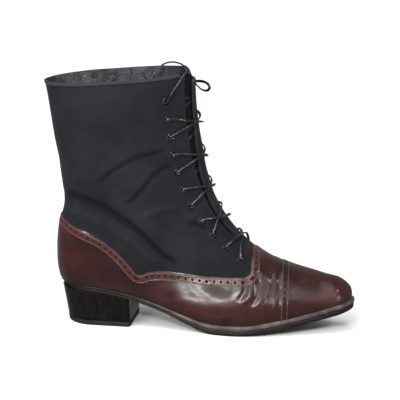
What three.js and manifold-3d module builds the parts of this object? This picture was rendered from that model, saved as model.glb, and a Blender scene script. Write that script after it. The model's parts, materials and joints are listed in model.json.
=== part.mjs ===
// Lace-up ankle boot for the right foot, in millimetres: toe along +X, +Z up, lateral side at -Y.
// The origin lies on the floor under the middle of the heel.
import * as THREE from "three";
import { mergeVertices } from "three/addons/utils/BufferGeometryUtils.js";
import Module from "manifold-3d";

const wasm = await Module();
wasm.setup();

// Driving sizes of the boot
const soleLength = 276.5;
const ballWidth = 72;
const heelBack = 37.5;
const seatHeight = 40;
const toeSpring = 23;
const shaftHeight = 186;
const shaftWidth = 64;
const wall = 2.2;
const raise = 0.9;
const toeRound = 12;
const collarCorner = 8;
const facingSetBack = 6;

// Sizes of the sole and heel
const weltThickness = 4;
const outsoleThickness = 5;
const weltProud = 3;
const outsoleProud = 2.5;
const weltInset = 8;
const insoleThickness = 3;
const heelLength = 61;
const heelWidth = 50;
const heelRake = 6.5;
const heelFlare = 3.6;
const breastFillet = 8;
const liftThickness = 4.5;
const liftProud = 0.4;
const heelCorner = 3;
const filletStart = 0.6;

// Sizes of the fastening
const eyeletCount = 11;
const eyeletSpread = 26;
const eyeletHole = 3.2;
const eyeletBarrel = 4.2;
const eyeletRim = 6.4;
const eyeletRimThickness = 0.7;
const laceWidth = 2.8;
const laceThickness = 1.5;
const laceCord = 2;
const tongueThickness = 2;
const tongueHalfWidth = 19;
const throatReach = 14;

const gap = 0.3;

// Sections of the last from the toe to above the collar. Each is a plane that runs from a place on
// the back or bottom line to a place on the front line. Places along are shares of the sole's length
// from the heel's back, heights are shares of the shaft's height above the upper's lower edge, and
// depth is how far the front's rounding reaches in, as a share of the ball's width.
const sections = [
  { frontAt: 0.9800, frontUp: 0.032, backAt: 0.9800, backUp: -0.075, depth: 0.08, round: 2.0, slit: 0 },
  { frontAt: 0.9755, frontUp: 0.054, backAt: 0.9755, backUp: -0.075, depth: 0.12, round: 2.0, slit: 0 },
  { frontAt: 0.9600, frontUp: 0.086, backAt: 0.9600, backUp: -0.075, depth: 0.20, round: 2.0, slit: 0 },
  { frontAt: 0.9350, frontUp: 0.119, backAt: 0.9350, backUp: -0.075, depth: 0.27, round: 2.0, slit: 0 },
  { frontAt: 0.8900, frontUp: 0.151, backAt: 0.8900, backUp: -0.075, depth: 0.33, round: 2.0, slit: 0 },
  { frontAt: 0.8300, frontUp: 0.194, backAt: 0.8300, backUp: -0.075, depth: 0.40, round: 2.1, slit: 0 },
  { frontAt: 0.7650, frontUp: 0.245, backAt: 0.7650, backUp: -0.075, depth: 0.48, round: 2.2, slit: 0 },
  { frontAt: 0.7050, frontUp: 0.298, backAt: 0.7050, backUp: -0.075, depth: 0.53, round: 2.3, slit: 0 },
  { frontAt: 0.6600, frontUp: 0.350, backAt: 0.6600, backUp: -0.075, depth: 0.53, round: 2.5, slit: 0 },
  { frontAt: 0.6290, frontUp: 0.390, backAt: 0.6150, backUp: -0.075, depth: 0.51, round: 2.6, slit: 0.02 },
  { frontAt: 0.5920, frontUp: 0.442, backAt: 0.5500, backUp: -0.075, depth: 0.52, round: 2.6, slit: 0.05 },
  { frontAt: 0.5610, frontUp: 0.500, backAt: 0.4600, backUp: -0.075, depth: 0.55, round: 2.5, slit: 0.05 },
  { frontAt: 0.5320, frontUp: 0.568, backAt: 0.3300, backUp: -0.075, depth: 0.58, round: 2.4, slit: 0.06 },
  { frontAt: 0.5100, frontUp: 0.634, backAt: 0.1700, backUp: -0.075, depth: 0.62, round: 2.3, slit: 0.06 },
  { frontAt: 0.4960, frontUp: 0.700, backAt: 0.0120, backUp: -0.035, depth: 0.66, round: 2.2, slit: 0.07 },
  { frontAt: 0.4830, frontUp: 0.776, backAt: -0.018, backUp: 0.120, depth: 0.70, round: 2.1, slit: 0.09 },
  { frontAt: 0.4730, frontUp: 0.862, backAt: -0.010, backUp: 0.280, depth: 0.73, round: 2.0, slit: 0.11 },
  { frontAt: 0.4640, frontUp: 0.940, backAt: 0.0060, backUp: 0.405, depth: 0.75, round: 2.0, slit: 0.13 },
  { frontAt: 0.4570, frontUp: 1.015, backAt: -0.008, backUp: 0.570, depth: 0.77, round: 2.0, slit: 0.15 },
  { frontAt: 0.4520, frontUp: 1.085, backAt: -0.025, backUp: 0.710, depth: 0.78, round: 2.0, slit: 0.17 },
  { frontAt: 0.4490, frontUp: 1.156, backAt: -0.043, backUp: 0.865, depth: 0.79, round: 2.0, slit: 0.19 },
  { frontAt: 0.4480, frontUp: 1.225, backAt: -0.063, backUp: 1.010, depth: 0.80, round: 2.0, slit: 0.20 },
  { frontAt: 0.4480, frontUp: 1.290, backAt: -0.077, backUp: 1.080, depth: 0.80, round: 2.0, slit: 0.20 },
].map((row, index) => ({ ...row, index }));

const throatFoot = 9.1;
const heelCornerRow = 14;
const collarRow = 21;
const topRow = 22;

// Outline of the last's bottom: half width and middle as shares of the ball's width, and how far
// the welt stands proud as a share of its widest.
const plan = [
  { at: 0.00, half: 0.390, middle: 0.000, proud: 0.3 },
  { at: 0.13, half: 0.405, middle: 0.000, proud: 0.3 },
  { at: 0.24, half: 0.390, middle: -0.010, proud: 0.3 },
  { at: 0.35, half: 0.355, middle: -0.045, proud: 0.4 },
  { at: 0.44, half: 0.370, middle: -0.050, proud: 0.6 },
  { at: 0.53, half: 0.430, middle: -0.030, proud: 0.9 },
  { at: 0.61, half: 0.480, middle: 0.000, proud: 1.0 },
  { at: 0.67, half: 0.480, middle: 0.025, proud: 1.0 },
  { at: 0.74, half: 0.440, middle: 0.045, proud: 1.0 },
  { at: 0.81, half: 0.375, middle: 0.055, proud: 1.0 },
  { at: 0.88, half: 0.295, middle: 0.065, proud: 1.0 },
  { at: 0.94, half: 0.225, middle: 0.070, proud: 1.2 },
  { at: 1.00, half: 0.170, middle: 0.080, proud: 1.4 },
];

// Half width of the leg as a share of the shaft's width, and how far the back's rounding reaches
// in as a share of the same, by height above the heel seat.
const leg = [
  { up: 0.00, half: 0.445, round: 0.45 },
  { up: 0.12, half: 0.475, round: 0.50 },
  { up: 0.35, half: 0.475, round: 0.60 },
  { up: 0.60, half: 0.480, round: 0.72 },
  { up: 1.00, half: 0.500, round: 0.84 },
  { up: 1.30, half: 0.500, round: 0.84 },
];

// Side line of the sole: lift of its underside as a share of the heel's height, and its thickness
// as a share of the full thickness at the forepart.
const soleLine = [
  { at: 0.00, lift: 1.00, thick: 0.55 },
  { at: 0.12, lift: 0.97, thick: 0.55 },
  { at: 0.20, lift: 0.87, thick: 0.55 },
  { at: 0.26, lift: 0.77, thick: 0.56 },
  { at: 0.35, lift: 0.54, thick: 0.60 },
  { at: 0.44, lift: 0.24, thick: 0.78 },
  { at: 0.49, lift: 0.08, thick: 0.92 },
  { at: 0.54, lift: 0.00, thick: 1.00 },
  { at: 0.64, lift: 0.00, thick: 1.00 },
  { at: 1.00, lift: 0.00, thick: 1.00 },
];
const springStart = 0.63;
const springPower = 1.3;

// Top edge of the brown leather on each side, from the back of the heel to the throat.
const foxing = [
  { at: -0.050, up: 0.350 },
  { at: 0.012, up: 0.327 },
  { at: 0.049, up: 0.303 },
  { at: 0.097, up: 0.280 },
  { at: 0.142, up: 0.256 },
  { at: 0.179, up: 0.232 },
  { at: 0.208, up: 0.204 },
  { at: 0.237, up: 0.170 },
  { at: 0.259, up: 0.139 },
  { at: 0.280, up: 0.109 },
  { at: 0.289, up: 0.124 },
  { at: 0.311, up: 0.148 },
  { at: 0.348, up: 0.173 },
  { at: 0.385, up: 0.194 },
  { at: 0.440, up: 0.218 },
  { at: 0.511, up: 0.239 },
  { at: 0.584, up: 0.247 },
  { at: 0.640, up: 0.248 },
  { at: 0.654, up: 0.256 },
  { at: 0.659, up: 0.275 },
  { at: 0.656, up: 0.343 },
  { at: 0.640, up: 0.392 },
  { at: 0.632, up: 0.470 },
];
const capSeam = 0.765;

// The value of one column of a table at a place, on a smooth curve through the table's rows that
// never swings past them.
function along(rows, column, at, place = "index") {
  const last = rows.length - 1;
  let i = 0;
  while (i < last - 1 && at > rows[i + 1][place]) i += 1;
  const span = rows[i + 1][place] - rows[i][place];
  const k = THREE.MathUtils.clamp((at - rows[i][place]) / span, 0, 1);
  const rise = (j) => (rows[j + 1][column] - rows[j][column]) / (rows[j + 1][place] - rows[j][place]);
  const slope = (j) => {
    if (j === 0) return rise(0);
    if (j === last) return rise(last - 1);
    const [before, after] = [rise(j - 1), rise(j)];
    return before * after > 0 ? 2 * before * after / (before + after) : 0;
  };
  const bend = k * (1 - k) * span * (slope(i) * (1 - k) - slope(i + 1) * k);
  return THREE.MathUtils.lerp(rows[i][column], rows[i + 1][column], k * k * (3 - 2 * k)) + bend;
}

const shareAlong = (x) => (x + heelBack) / soleLength;
const placeAlong = (share) => share * soleLength - heelBack;

const fullThickness = weltThickness + outsoleThickness + 2 * gap;
const thicknessShare = (x) => along(soleLine, "thick", shareAlong(x), "at");
const heelRise = seatHeight - fullThickness * soleLine[0].thick;

// Height of the sole's underside, and of the upper's lower edge, at a place along the boot.
function underside(x) {
  const share = shareAlong(x);
  const spring = THREE.MathUtils.clamp((share - springStart) / (1 - springStart), 0, 1);
  return heelRise * along(soleLine, "lift", share, "at") + toeSpring * spring ** springPower;
}
const feather = (x) => underside(x) + fullThickness * thicknessShare(x);

// The front and the back end of a section.
function sectionEnd(end, row) {
  const x = placeAlong(along(sections, `${end}At`, row));
  return new THREE.Vector3(x, 0, feather(x) + shaftHeight * along(sections, `${end}Up`, row));
}

const backLineSteps = 40;
const backLine = Array.from({ length: backLineSteps + 1 }, (_, i) => {
  const row = THREE.MathUtils.lerp(heelCornerRow, topRow, i / backLineSteps);
  return sectionEnd("back", row);
});

const rounded = (share, power = 2) => (1 - (1 - THREE.MathUtils.clamp(share, 0, 1)) ** power) ** (1 / power);

const toeEnd = placeAlong(sections[0].frontAt) + gap;
const legStarts = 0.1;
const legWhole = 0.45;

// A point on the last's surface: row is the section, and round runs from -1 at the section's back
// end along the lateral side to 0 at its front end, and on along the medial side to 1.
function lastPoint(row, round) {
  const front = sectionEnd("front", row);
  const back = sectionEnd("back", row);
  const point = back.clone().lerp(front, (1 - Math.cos(Math.PI * (1 - Math.abs(round)))) / 2);
  const share = shareAlong(point.x);
  const legShare = THREE.MathUtils.smoothstep((point.z - feather(point.x)) / shaftHeight, legStarts, legWhole);
  const up = (point.z - seatHeight) / shaftHeight;
  const footHalf = ballWidth * along(plan, "half", share, "at");
  const half = THREE.MathUtils.lerp(footHalf, shaftWidth * along(leg, "half", up, "up"), legShare);
  const middle = ballWidth * along(plan, "middle", share, "at") * (1 - legShare);
  const backDepth = shaftWidth * along(leg, "round", up, "up");
  const frontDepth = ballWidth * along(sections, "depth", row);
  const taper = rounded((toeEnd - point.x) / toeRound)
    * rounded((point.x - along(backLine, "x", point.z, "z")) / backDepth)
    * rounded(front.distanceTo(point) / frontDepth, along(sections, "round", row));
  point.y = middle + Math.sign(round) * half * taper;
  return point;
}

// The outward normal of the last's surface, from its neighbours on both sides.
const nearby = 0.02;
function lastNormal(row, round) {
  const [r0, r1] = [Math.max(row - nearby, 0), Math.min(row + nearby, topRow)];
  const [q0, q1] = [Math.max(round - nearby, -1), Math.min(round + nearby, 1)];
  const alongRow = lastPoint(r1, round).sub(lastPoint(r0, round));
  const around = lastPoint(row, q1).sub(lastPoint(row, q0));
  return around.cross(alongRow).normalize();
}

function offsetPoint(row, round, offset) {
  return lastPoint(row, round).addScaledVector(lastNormal(row, round), offset);
}

// A closed geometry through rings with the same number of points, with both ends capped. In a ring
// the first and the last point are a pair, and so on inwards.
function loft(rings) {
  const count = rings[0].length;
  const positions = rings.flat().flatMap((p) => [p.x, p.y, p.z]);
  const faces = [];
  rings.slice(1).forEach((_, i) => {
    for (let j = 0; j < count; j += 1) {
      const [a, b] = [i * count + j, i * count + (j + 1) % count];
      faces.push(a, b, a + count, b, b + count, a + count);
    }
  });
  for (let j = 0; j < count / 2 - 1; j += 1) {
    const [a, b, c, d] = [j, j + 1, count - 2 - j, count - 1 - j];
    const end = (rings.length - 1) * count;
    faces.push(a, c, b, a, d, c);
    faces.push(end + a, end + b, end + c, end + a, end + c, end + d);
  }
  const geometry = new THREE.BufferGeometry();
  geometry.setAttribute("position", new THREE.Float32BufferAttribute(positions, 3));
  geometry.setIndex(faces);
  return geometry;
}

// A solid from a closed geometry, turned right side out where its faces point inwards.
function solid(geometry) {
  const bare = geometry.clone();
  bare.deleteAttribute("normal");
  bare.deleteAttribute("uv");
  const merged = mergeVertices(bare, 1e-4);
  const index = Array.from(merged.index.array);
  const triangles = [];
  let volume = 0;
  const corner = (i) => new THREE.Vector3().fromBufferAttribute(merged.attributes.position, i);
  for (let i = 0; i < index.length; i += 3) {
    const [a, b, c] = index.slice(i, i + 3);
    if (a !== b && b !== c && c !== a) {
      triangles.push([a, b, c]);
      volume += corner(a).dot(corner(b).cross(corner(c)));
    }
  }
  const outward = volume < 0 ? triangles.map(([a, b, c]) => [a, c, b]) : triangles;
  return new wasm.Manifold(new wasm.Mesh({
    numProp: 3,
    vertProperties: new Float32Array(merged.attributes.position.array),
    triVerts: new Uint32Array(outward.flat()),
  }));
}

// The last as a solid, grown or shrunk by an offset that may change along the boot.
const rowSteps = 2;
const straightRow = 16;
const fineSteps = 9;
const coarseSteps = 6;
const rowsBetween = (from, to, steps) => {
  const count = Math.round((to - from) * steps);
  return Array.from({ length: count + 1 }, (_, i) => from + (to - from) * i / count);
};
const formRows = [...rowsBetween(0, straightRow, rowSteps), ...rowsBetween(straightRow + 1, topRow, 1)];
function lastForm(offset, ringSteps = coarseSteps) {
  const rings = [];
  for (const row of formRows) {
    const ring = [];
    for (let j = 0; j <= 2 * ringSteps; j += 1) {
      const round = j / ringSteps - 1;
      const grown = typeof offset === "function" ? offset(lastPoint(row, round).x) : offset;
      ring.push(offsetPoint(row, round, grown));
    }
    rings.push(ring);
  }
  return solid(padRings(rings));
}

// Doubles a ring's front point, so that each of its points has a pair on the other side.
function padRings(rings) {
  return loft(rings.map((ring) => {
    const middle = (ring.length - 1) / 2;
    return [...ring.slice(0, middle + 1), ...ring.slice(middle)];
  }));
}

// A prism across the boot from a closed outline of [x, z] pairs, reaching the same way to both sides.
function sidePrism(outline, reach = 200) {
  const shape = new THREE.Shape(outline.map(([x, z]) => new THREE.Vector2(x, z)));
  const geometry = new THREE.ExtrudeGeometry(shape, { depth: 2 * reach, bevelEnabled: false });
  geometry.rotateX(Math.PI / 2);
  geometry.translate(0, reach, 0);
  return solid(geometry);
}

// Stations from the heel to the toe for cutters that follow the sole.
const stationCount = 22;
const beyond = 20;
const stations = Array.from({ length: stationCount + 1 }, (_, i) => {
  return THREE.MathUtils.lerp(-heelBack - beyond, soleLength - heelBack + beyond, i / stationCount);
});
const lineAt = (height) => stations.map((x) => [x, height(x)]);

// The layer between two heights that follow the sole.
const layer = (low, high) => sidePrism([...lineAt(low), ...lineAt(high).reverse()]);

const weltTop = (x) => feather(x) - gap;
const weltBottom = (x) => weltTop(x) - weltThickness * thicknessShare(x);
const outsoleTop = (x) => weltBottom(x) - gap;

// Names, colours and finish of the materials
const brownLeather = { color: 0x4a2620, roughness: 0.35, metalness: 0 };
const cloth = { color: 0x2a2b30, roughness: 0.9, metalness: 0 };
const soleLeather = { color: 0x3a3431, roughness: 0.6, metalness: 0 };
const weltLeather = { color: 0x6e6460, roughness: 0.6, metalness: 0 };
const heelBlack = { color: 0x26211f, roughness: 0.4, metalness: 0 };
const liftRubber = { color: 0x3b3633, roughness: 0.8, metalness: 0 };
const lining = { color: 0x2b2a2c, roughness: 0.8, metalness: 0 };
const blackMetal = { color: 0x141416, roughness: 0.3, metalness: 0.9 };
const laceLeather = { color: 0x1c1c1e, roughness: 0.5, metalness: 0 };

const boot = new THREE.Group();

function add(name, body, finish) {
  const mesh = body.getMesh();
  const geometry = new THREE.BufferGeometry();
  geometry.setAttribute("position", new THREE.Float32BufferAttribute(mesh.vertProperties, 3));
  geometry.setIndex(new THREE.Uint32BufferAttribute(mesh.triVerts, 1));
  const piece = new THREE.Mesh(geometry, new THREE.MeshStandardMaterial(finish));
  piece.name = name;
  boot.add(piece);
}

// Sole: outsole, and welt as a ring
const proud = (most) => (x) => most * along(plan, "proud", shareAlong(x), "at");
const outsole = lastForm(proud(outsoleProud)).intersect(layer(underside, outsoleTop));
add("outsole", outsole, soleLeather);

const welt = lastForm(proud(weltProud)).subtract(lastForm(-weltInset)).intersect(layer(weltBottom, weltTop));
add("welt", welt, weltLeather);

// Heel: outlines with a round back and a straight breast, stacked from the lift to the seat
const heelSeatFront = heelLength / 2;
const heelRings = 6;
const heelBackSteps = 9;
const heelCornerSteps = 3;
const heelTop = seatHeight;
function heelOutline(z, grow) {
  const k = z / heelRise;
  const half = heelWidth / 2 + heelFlare * k + grow;
  const backX = -heelLength / 2 - heelRake * k - grow;
  const frontLean = 2 * k * heelCorner * (0.5 - k);
  const fillet = breastFillet * Math.max(0, (k - filletStart) / (1 - filletStart)) ** 2;
  const frontX = heelSeatFront + frontLean + fillet + grow;
  const points = [];
  for (let i = 0; i <= heelBackSteps; i += 1) {
    const angle = (i / heelBackSteps) * Math.PI / 2;
    points.push([backX + half * (1 - Math.cos(angle)), half * Math.sin(angle)]);
  }
  for (let i = 0; i <= heelCornerSteps; i += 1) {
    const angle = (i / heelCornerSteps) * Math.PI / 2;
    points.push([
      frontX - heelCorner * (1 - Math.sin(angle)),
      half - heelCorner * (1 - Math.cos(angle)),
    ]);
  }
  const lateral = points.map(([x, y]) => new THREE.Vector3(x, -y, z));
  const medial = points.map(([x, y]) => new THREE.Vector3(x, y, z)).reverse();
  return [...lateral, ...medial];
}
function heelForm(low, high, rings, grow) {
  return solid(loft(Array.from({ length: rings + 1 }, (_, i) => {
    return heelOutline(THREE.MathUtils.lerp(low, high, i / rings), grow);
  })));
}
const heelBlock = heelForm(liftThickness + gap, heelTop, heelRings, 0)
  .subtract(sidePrism([...lineAt((x) => underside(x) - gap), ...lineAt(() => 2 * heelTop).reverse()]));
add("heel_block", heelBlock, heelBlack);
add("heel_top_lift", heelForm(0, liftThickness, 1, liftProud), liftRubber);

// Insole inside the upper, on the welt
const insole = lastForm(-wall - gap).intersect(layer(feather, (x) => feather(x) + insoleThickness));
add("insole", insole, lining);

// Upper: hollow, open at the collar, the throat and the bottom, with the brown leather raised
const aboveFeather = sidePrism([...lineAt(feather), ...lineAt(() => 2 * (seatHeight + shaftHeight)).reverse()]);
const foxingEdge = foxing.map(({ at, up }) => [placeAlong(at), feather(placeAlong(at)) + shaftHeight * up]);
const behindBoot = -2 * heelBack;
const aheadOfBoot = soleLength;
const foxingRegion = sidePrism([
  [behindBoot, foxingEdge[0][1]],
  ...foxingEdge,
  [aheadOfBoot, foxingEdge[foxingEdge.length - 1][1]],
  [aheadOfBoot, -seatHeight],
  [behindBoot, -seatHeight],
]);
const capRegion = sidePrism([
  [placeAlong(capSeam), -seatHeight],
  [aheadOfBoot, -seatHeight],
  [aheadOfBoot, shaftHeight],
  [placeAlong(capSeam), shaftHeight],
]);

// Collar: a straight rim from back to front, rounded at the front corners
const collarBack = sectionEnd("back", collarRow);
const collarFront = sectionEnd("front", collarRow);
const rimSlope = (collarFront.z - collarBack.z) / (collarFront.x - collarBack.x);
const slitHalf = (row) => ballWidth * along(sections, "slit", row);
const facingEdgeX = collarFront.x - facingSetBack;
const rimHeight = (x) => collarBack.z + rimSlope * (x - collarBack.x);
const arcSteps = 6;
const cornerArc = Array.from({ length: arcSteps + 1 }, (_, i) => {
  const angle = (i / arcSteps) * Math.PI / 2;
  return [
    facingEdgeX - collarCorner * (1 - Math.sin(angle)),
    rimHeight(facingEdgeX) - collarCorner * (1 - Math.cos(angle)),
  ];
});
const aboveCollar = sidePrism([
  [collarBack.x - beyond, rimHeight(collarBack.x - beyond)],
  ...cornerArc,
  [facingEdgeX + beyond, rimHeight(facingEdgeX) - collarCorner],
  [facingEdgeX + beyond, 2 * collarFront.z],
  [collarBack.x - beyond, 2 * collarFront.z],
]);

// A strip along the front line with a half width by row, from inside to outside the last.
function frontStrip(fromRow, toRow, halfWidth, inward, outward) {
  const rings = [];
  for (const row of rowsBetween(fromRow, toRow, rowSteps)) {
    const half = halfWidth(row);
    const inner = offsetPoint(row, 0, -inward);
    const outer = offsetPoint(row, 0, outward);
    rings.push([
      new THREE.Vector3(inner.x, -half, inner.z),
      new THREE.Vector3(outer.x, -half, outer.z),
      new THREE.Vector3(outer.x, half, outer.z),
      new THREE.Vector3(inner.x, half, inner.z),
    ]);
  }
  return solid(loft(rings));
}

const outerForm = lastForm(0, fineSteps)
  .add(lastForm(raise, fineSteps).intersect(foxingRegion))
  .add(lastForm(2 * raise, fineSteps).intersect(capRegion));
const throat = frontStrip(throatFoot, topRow, slitHalf, throatReach, throatReach);

// Eyelets sit at the same half width on both facings, evenly spaced along the front line.
const firstEyeletRow = 19.55;
const lastEyeletRow = 9.15;
const widestRound = 0.8;
const halvings = 24;
function roundAtSpread(row, spread) {
  let [low, high] = [0, widestRound];
  for (let i = 0; i < halvings; i += 1) {
    const middle = (low + high) / 2;
    if (Math.abs(lastPoint(row, middle).y) < spread) low = middle;
    else high = middle;
  }
  return low;
}
const facingSteps = 60;
const facingLine = Array.from({ length: facingSteps + 1 }, (_, i) => {
  const row = THREE.MathUtils.lerp(firstEyeletRow, lastEyeletRow, i / facingSteps);
  return { row, point: lastPoint(row, roundAtSpread(row, eyeletSpread)), reach: 0 };
});
facingLine.slice(1).forEach((station, i) => {
  station.reach = facingLine[i].reach + station.point.distanceTo(facingLine[i].point);
});
const facingReach = facingLine[facingSteps].reach;
const eyeletRows = Array.from({ length: eyeletCount }, (_, i) => {
  return along(facingLine, "row", facingReach * i / (eyeletCount - 1), "reach");
});

// Places a solid made along +Y, as a lathe makes it, on the last's surface, pointing outwards.
function onSurface(body, row, round) {
  const turn = new THREE.Quaternion().setFromUnitVectors(new THREE.Vector3(0, 1, 0), lastNormal(row, round));
  const matrix = new THREE.Matrix4().compose(lastPoint(row, round), turn, new THREE.Vector3(1, 1, 1));
  return body.transform(matrix.elements);
}

const eyeletSides = 8;
const profileSolid = (profile) => {
  const points = [...profile, profile[0]].map(([r, z]) => new THREE.Vector2(r, z));
  return solid(new THREE.LatheGeometry(points, eyeletSides));
};
const eyeletBody = profileSolid([
  [eyeletHole / 2, -wall - 2 * gap],
  [eyeletBarrel / 2, -wall - 2 * gap],
  [eyeletBarrel / 2, gap],
  [eyeletRim / 2, gap],
  [eyeletHole / 2, gap + eyeletRimThickness],
]);
const holeBody = profileSolid([
  [0, -2 * wall],
  [eyeletBarrel / 2 + gap, -2 * wall],
  [eyeletBarrel / 2 + gap, 2 * wall],
  [0, 2 * wall],
]);

const eyeletPlaces = [-1, 1].flatMap((side) => eyeletRows.map((row, i) => ({
  name: `eyelet_${side < 0 ? "lateral" : "medial"}_${i + 1}`,
  row,
  round: side * roundAtSpread(row, eyeletSpread),
})));
const holes = eyeletPlaces.map(({ row, round }) => onSurface(holeBody, row, round));

const upper = holes.reduce(
  (body, hole) => body.subtract(hole),
  outerForm.subtract(lastForm(-wall)).intersect(aboveFeather).subtract(aboveCollar).subtract(throat),
);
add("upper", upper, brownLeather);

// Tongue: a sheet inside the throat, held at its foot behind the vamp
const tongueFoot = 8.2;
const tongueTop = 20.6;
const tongue = lastForm(-wall - gap)
  .subtract(lastForm(-wall - gap - tongueThickness))
  .intersect(frontStrip(tongueFoot, tongueTop, () => tongueHalfWidth, throatReach, throatReach));
add("tongue", tongue, cloth);

eyeletPlaces.forEach(({ name, row, round }) => add(name, onSurface(eyeletBody, row, round), blackMetal));

// Lace: crossings between pairs of rows, over the facings, and two loose ends at the top
const laceSteps = 6;
const laceLift = gap + eyeletRimThickness + gap + laceThickness / 2;
const laceSection = 6;
function laceStrand(from, to, hump) {
  const rings = [];
  const centre = (k) => {
    const row = THREE.MathUtils.lerp(from.row, to.row, k);
    const round = THREE.MathUtils.lerp(from.round, to.round, k);
    return { point: offsetPoint(row, round, laceLift + hump * Math.sin(Math.PI * k) ** 2), row, round };
  };
  for (let i = 0; i <= laceSteps; i += 1) {
    const k = i / laceSteps;
    const { point, row, round } = centre(k);
    const [before, after] = [Math.max(k - nearby, 0), Math.min(k + nearby, 1)];
    const ahead = centre(after).point.sub(centre(before).point).normalize();
    const out = lastNormal(row, round);
    const across = ahead.clone().cross(out).normalize();
    rings.push(Array.from({ length: laceSection }, (_, j) => {
      const angle = (j + 0.5) / laceSection * 2 * Math.PI;
      return point.clone()
        .addScaledVector(across, laceWidth / 2 * Math.cos(angle))
        .addScaledVector(out, laceThickness / 2 * Math.sin(angle));
    }));
  }
  return solid(loft(rings));
}
const crossingHump = 0.7;
for (let k = 1; k < eyeletCount; k += 2) {
  const end = (side, i) => eyeletPlaces[(side < 0 ? 0 : eyeletCount) + i];
  const falling = laceStrand(end(-1, k), end(1, k + 1), crossingHump);
  const rising = laceStrand(end(-1, k + 1), end(1, k), 0);
  add(`lace_crossing_${(k + 1) / 2}`, falling.add(rising), laceLeather);
}

// The two loose ends run from the top eyelets over the rim and hang inside the shaft. Places along
// are shares of the sole's length, sides are shares of half the shaft's width, and heights are
// shares of the shaft's height above the upper's lower edge.
const looseEnds = {
  lace_end_lateral: [
    { at: 0.385, side: -0.87, up: 1.090 },
    { at: 0.397, side: -0.83, up: 1.127 },
    { at: 0.411, side: -0.75, up: 1.169 },
    { at: 0.422, side: -0.64, up: 1.204 },
    { at: 0.427, side: -0.48, up: 1.222 },
    { at: 0.423, side: -0.33, up: 1.221 },
    { at: 0.409, side: -0.21, up: 1.198 },
    { at: 0.395, side: -0.14, up: 1.160 },
    { at: 0.384, side: -0.12, up: 1.115 },
    { at: 0.376, side: -0.12, up: 1.037 },
    { at: 0.371, side: -0.15, up: 0.954 },
  ],
  lace_end_medial: [
    { at: 0.391, side: 0.88, up: 1.083 },
    { at: 0.410, side: 0.85, up: 1.105 },
    { at: 0.434, side: 0.77, up: 1.130 },
    { at: 0.458, side: 0.64, up: 1.149 },
    { at: 0.480, side: 0.50, up: 1.155 },
    { at: 0.489, side: 0.44, up: 1.139 },
    { at: 0.478, side: 0.52, up: 1.116 },
    { at: 0.455, side: 0.68, up: 1.107 },
    { at: 0.429, side: 0.83, up: 1.124 },
    { at: 0.410, side: 0.92, up: 1.153 },
    { at: 0.393, side: 0.93, up: 1.178 },
    { at: 0.376, side: 0.83, up: 1.187 },
    { at: 0.354, side: 0.64, up: 1.186 },
    { at: 0.331, side: 0.41, up: 1.168 },
    { at: 0.311, side: 0.17, up: 1.125 },
    { at: 0.298, side: 0.03, up: 1.077 },
    { at: 0.290, side: -0.07, up: 1.001 },
    { at: 0.286, side: -0.13, up: 0.916 },
  ],
};
const cordSides = 8;
const cordSteps = 20;
const cordLift = gap + eyeletRimThickness + gap + laceCord / 2;
Object.entries(looseEnds).forEach(([name, route]) => {
  const eyelet = eyeletPlaces[name.endsWith("lateral") ? 0 : eyeletCount];
  const points = route.map(({ at, side, up }) => {
    const x = placeAlong(at);
    return new THREE.Vector3(x, shaftWidth / 2 * side, feather(x) + shaftHeight * up);
  });
  const path = new THREE.CatmullRomCurve3([offsetPoint(eyelet.row, eyelet.round, cordLift), ...points]);
  const section = new THREE.Shape(Array.from({ length: cordSides }, (_, i) => {
    const angle = i / cordSides * 2 * Math.PI;
    return new THREE.Vector2(laceCord / 2 * Math.cos(angle), laceCord / 2 * Math.sin(angle));
  }));
  const tube = new THREE.ExtrudeGeometry(section, { extrudePath: path, steps: cordSteps, bevelEnabled: false });
  add(name, solid(tube), laceLeather);
});

export default boot;
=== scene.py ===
import json
import math

import bmesh
import bpy
import numpy as np
from mathutils import Matrix, Vector
from mathutils.kdtree import KDTree

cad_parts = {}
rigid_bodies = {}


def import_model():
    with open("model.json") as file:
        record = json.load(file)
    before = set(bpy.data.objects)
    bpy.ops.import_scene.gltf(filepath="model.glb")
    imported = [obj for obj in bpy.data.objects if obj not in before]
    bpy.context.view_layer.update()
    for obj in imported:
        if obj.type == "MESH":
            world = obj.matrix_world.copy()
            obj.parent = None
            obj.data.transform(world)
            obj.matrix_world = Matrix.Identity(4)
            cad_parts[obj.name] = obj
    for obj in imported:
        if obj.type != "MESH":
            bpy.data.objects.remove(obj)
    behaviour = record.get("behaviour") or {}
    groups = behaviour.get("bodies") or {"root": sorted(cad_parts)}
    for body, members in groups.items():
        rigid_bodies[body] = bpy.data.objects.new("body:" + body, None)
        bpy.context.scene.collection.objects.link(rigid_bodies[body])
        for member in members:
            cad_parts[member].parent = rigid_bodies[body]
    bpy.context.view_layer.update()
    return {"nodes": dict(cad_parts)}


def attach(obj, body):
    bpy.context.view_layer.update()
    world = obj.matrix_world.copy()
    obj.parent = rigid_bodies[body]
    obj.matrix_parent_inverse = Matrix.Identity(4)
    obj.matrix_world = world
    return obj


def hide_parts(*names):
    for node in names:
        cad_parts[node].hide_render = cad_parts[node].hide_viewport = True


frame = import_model()
MM = 0.001

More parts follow.
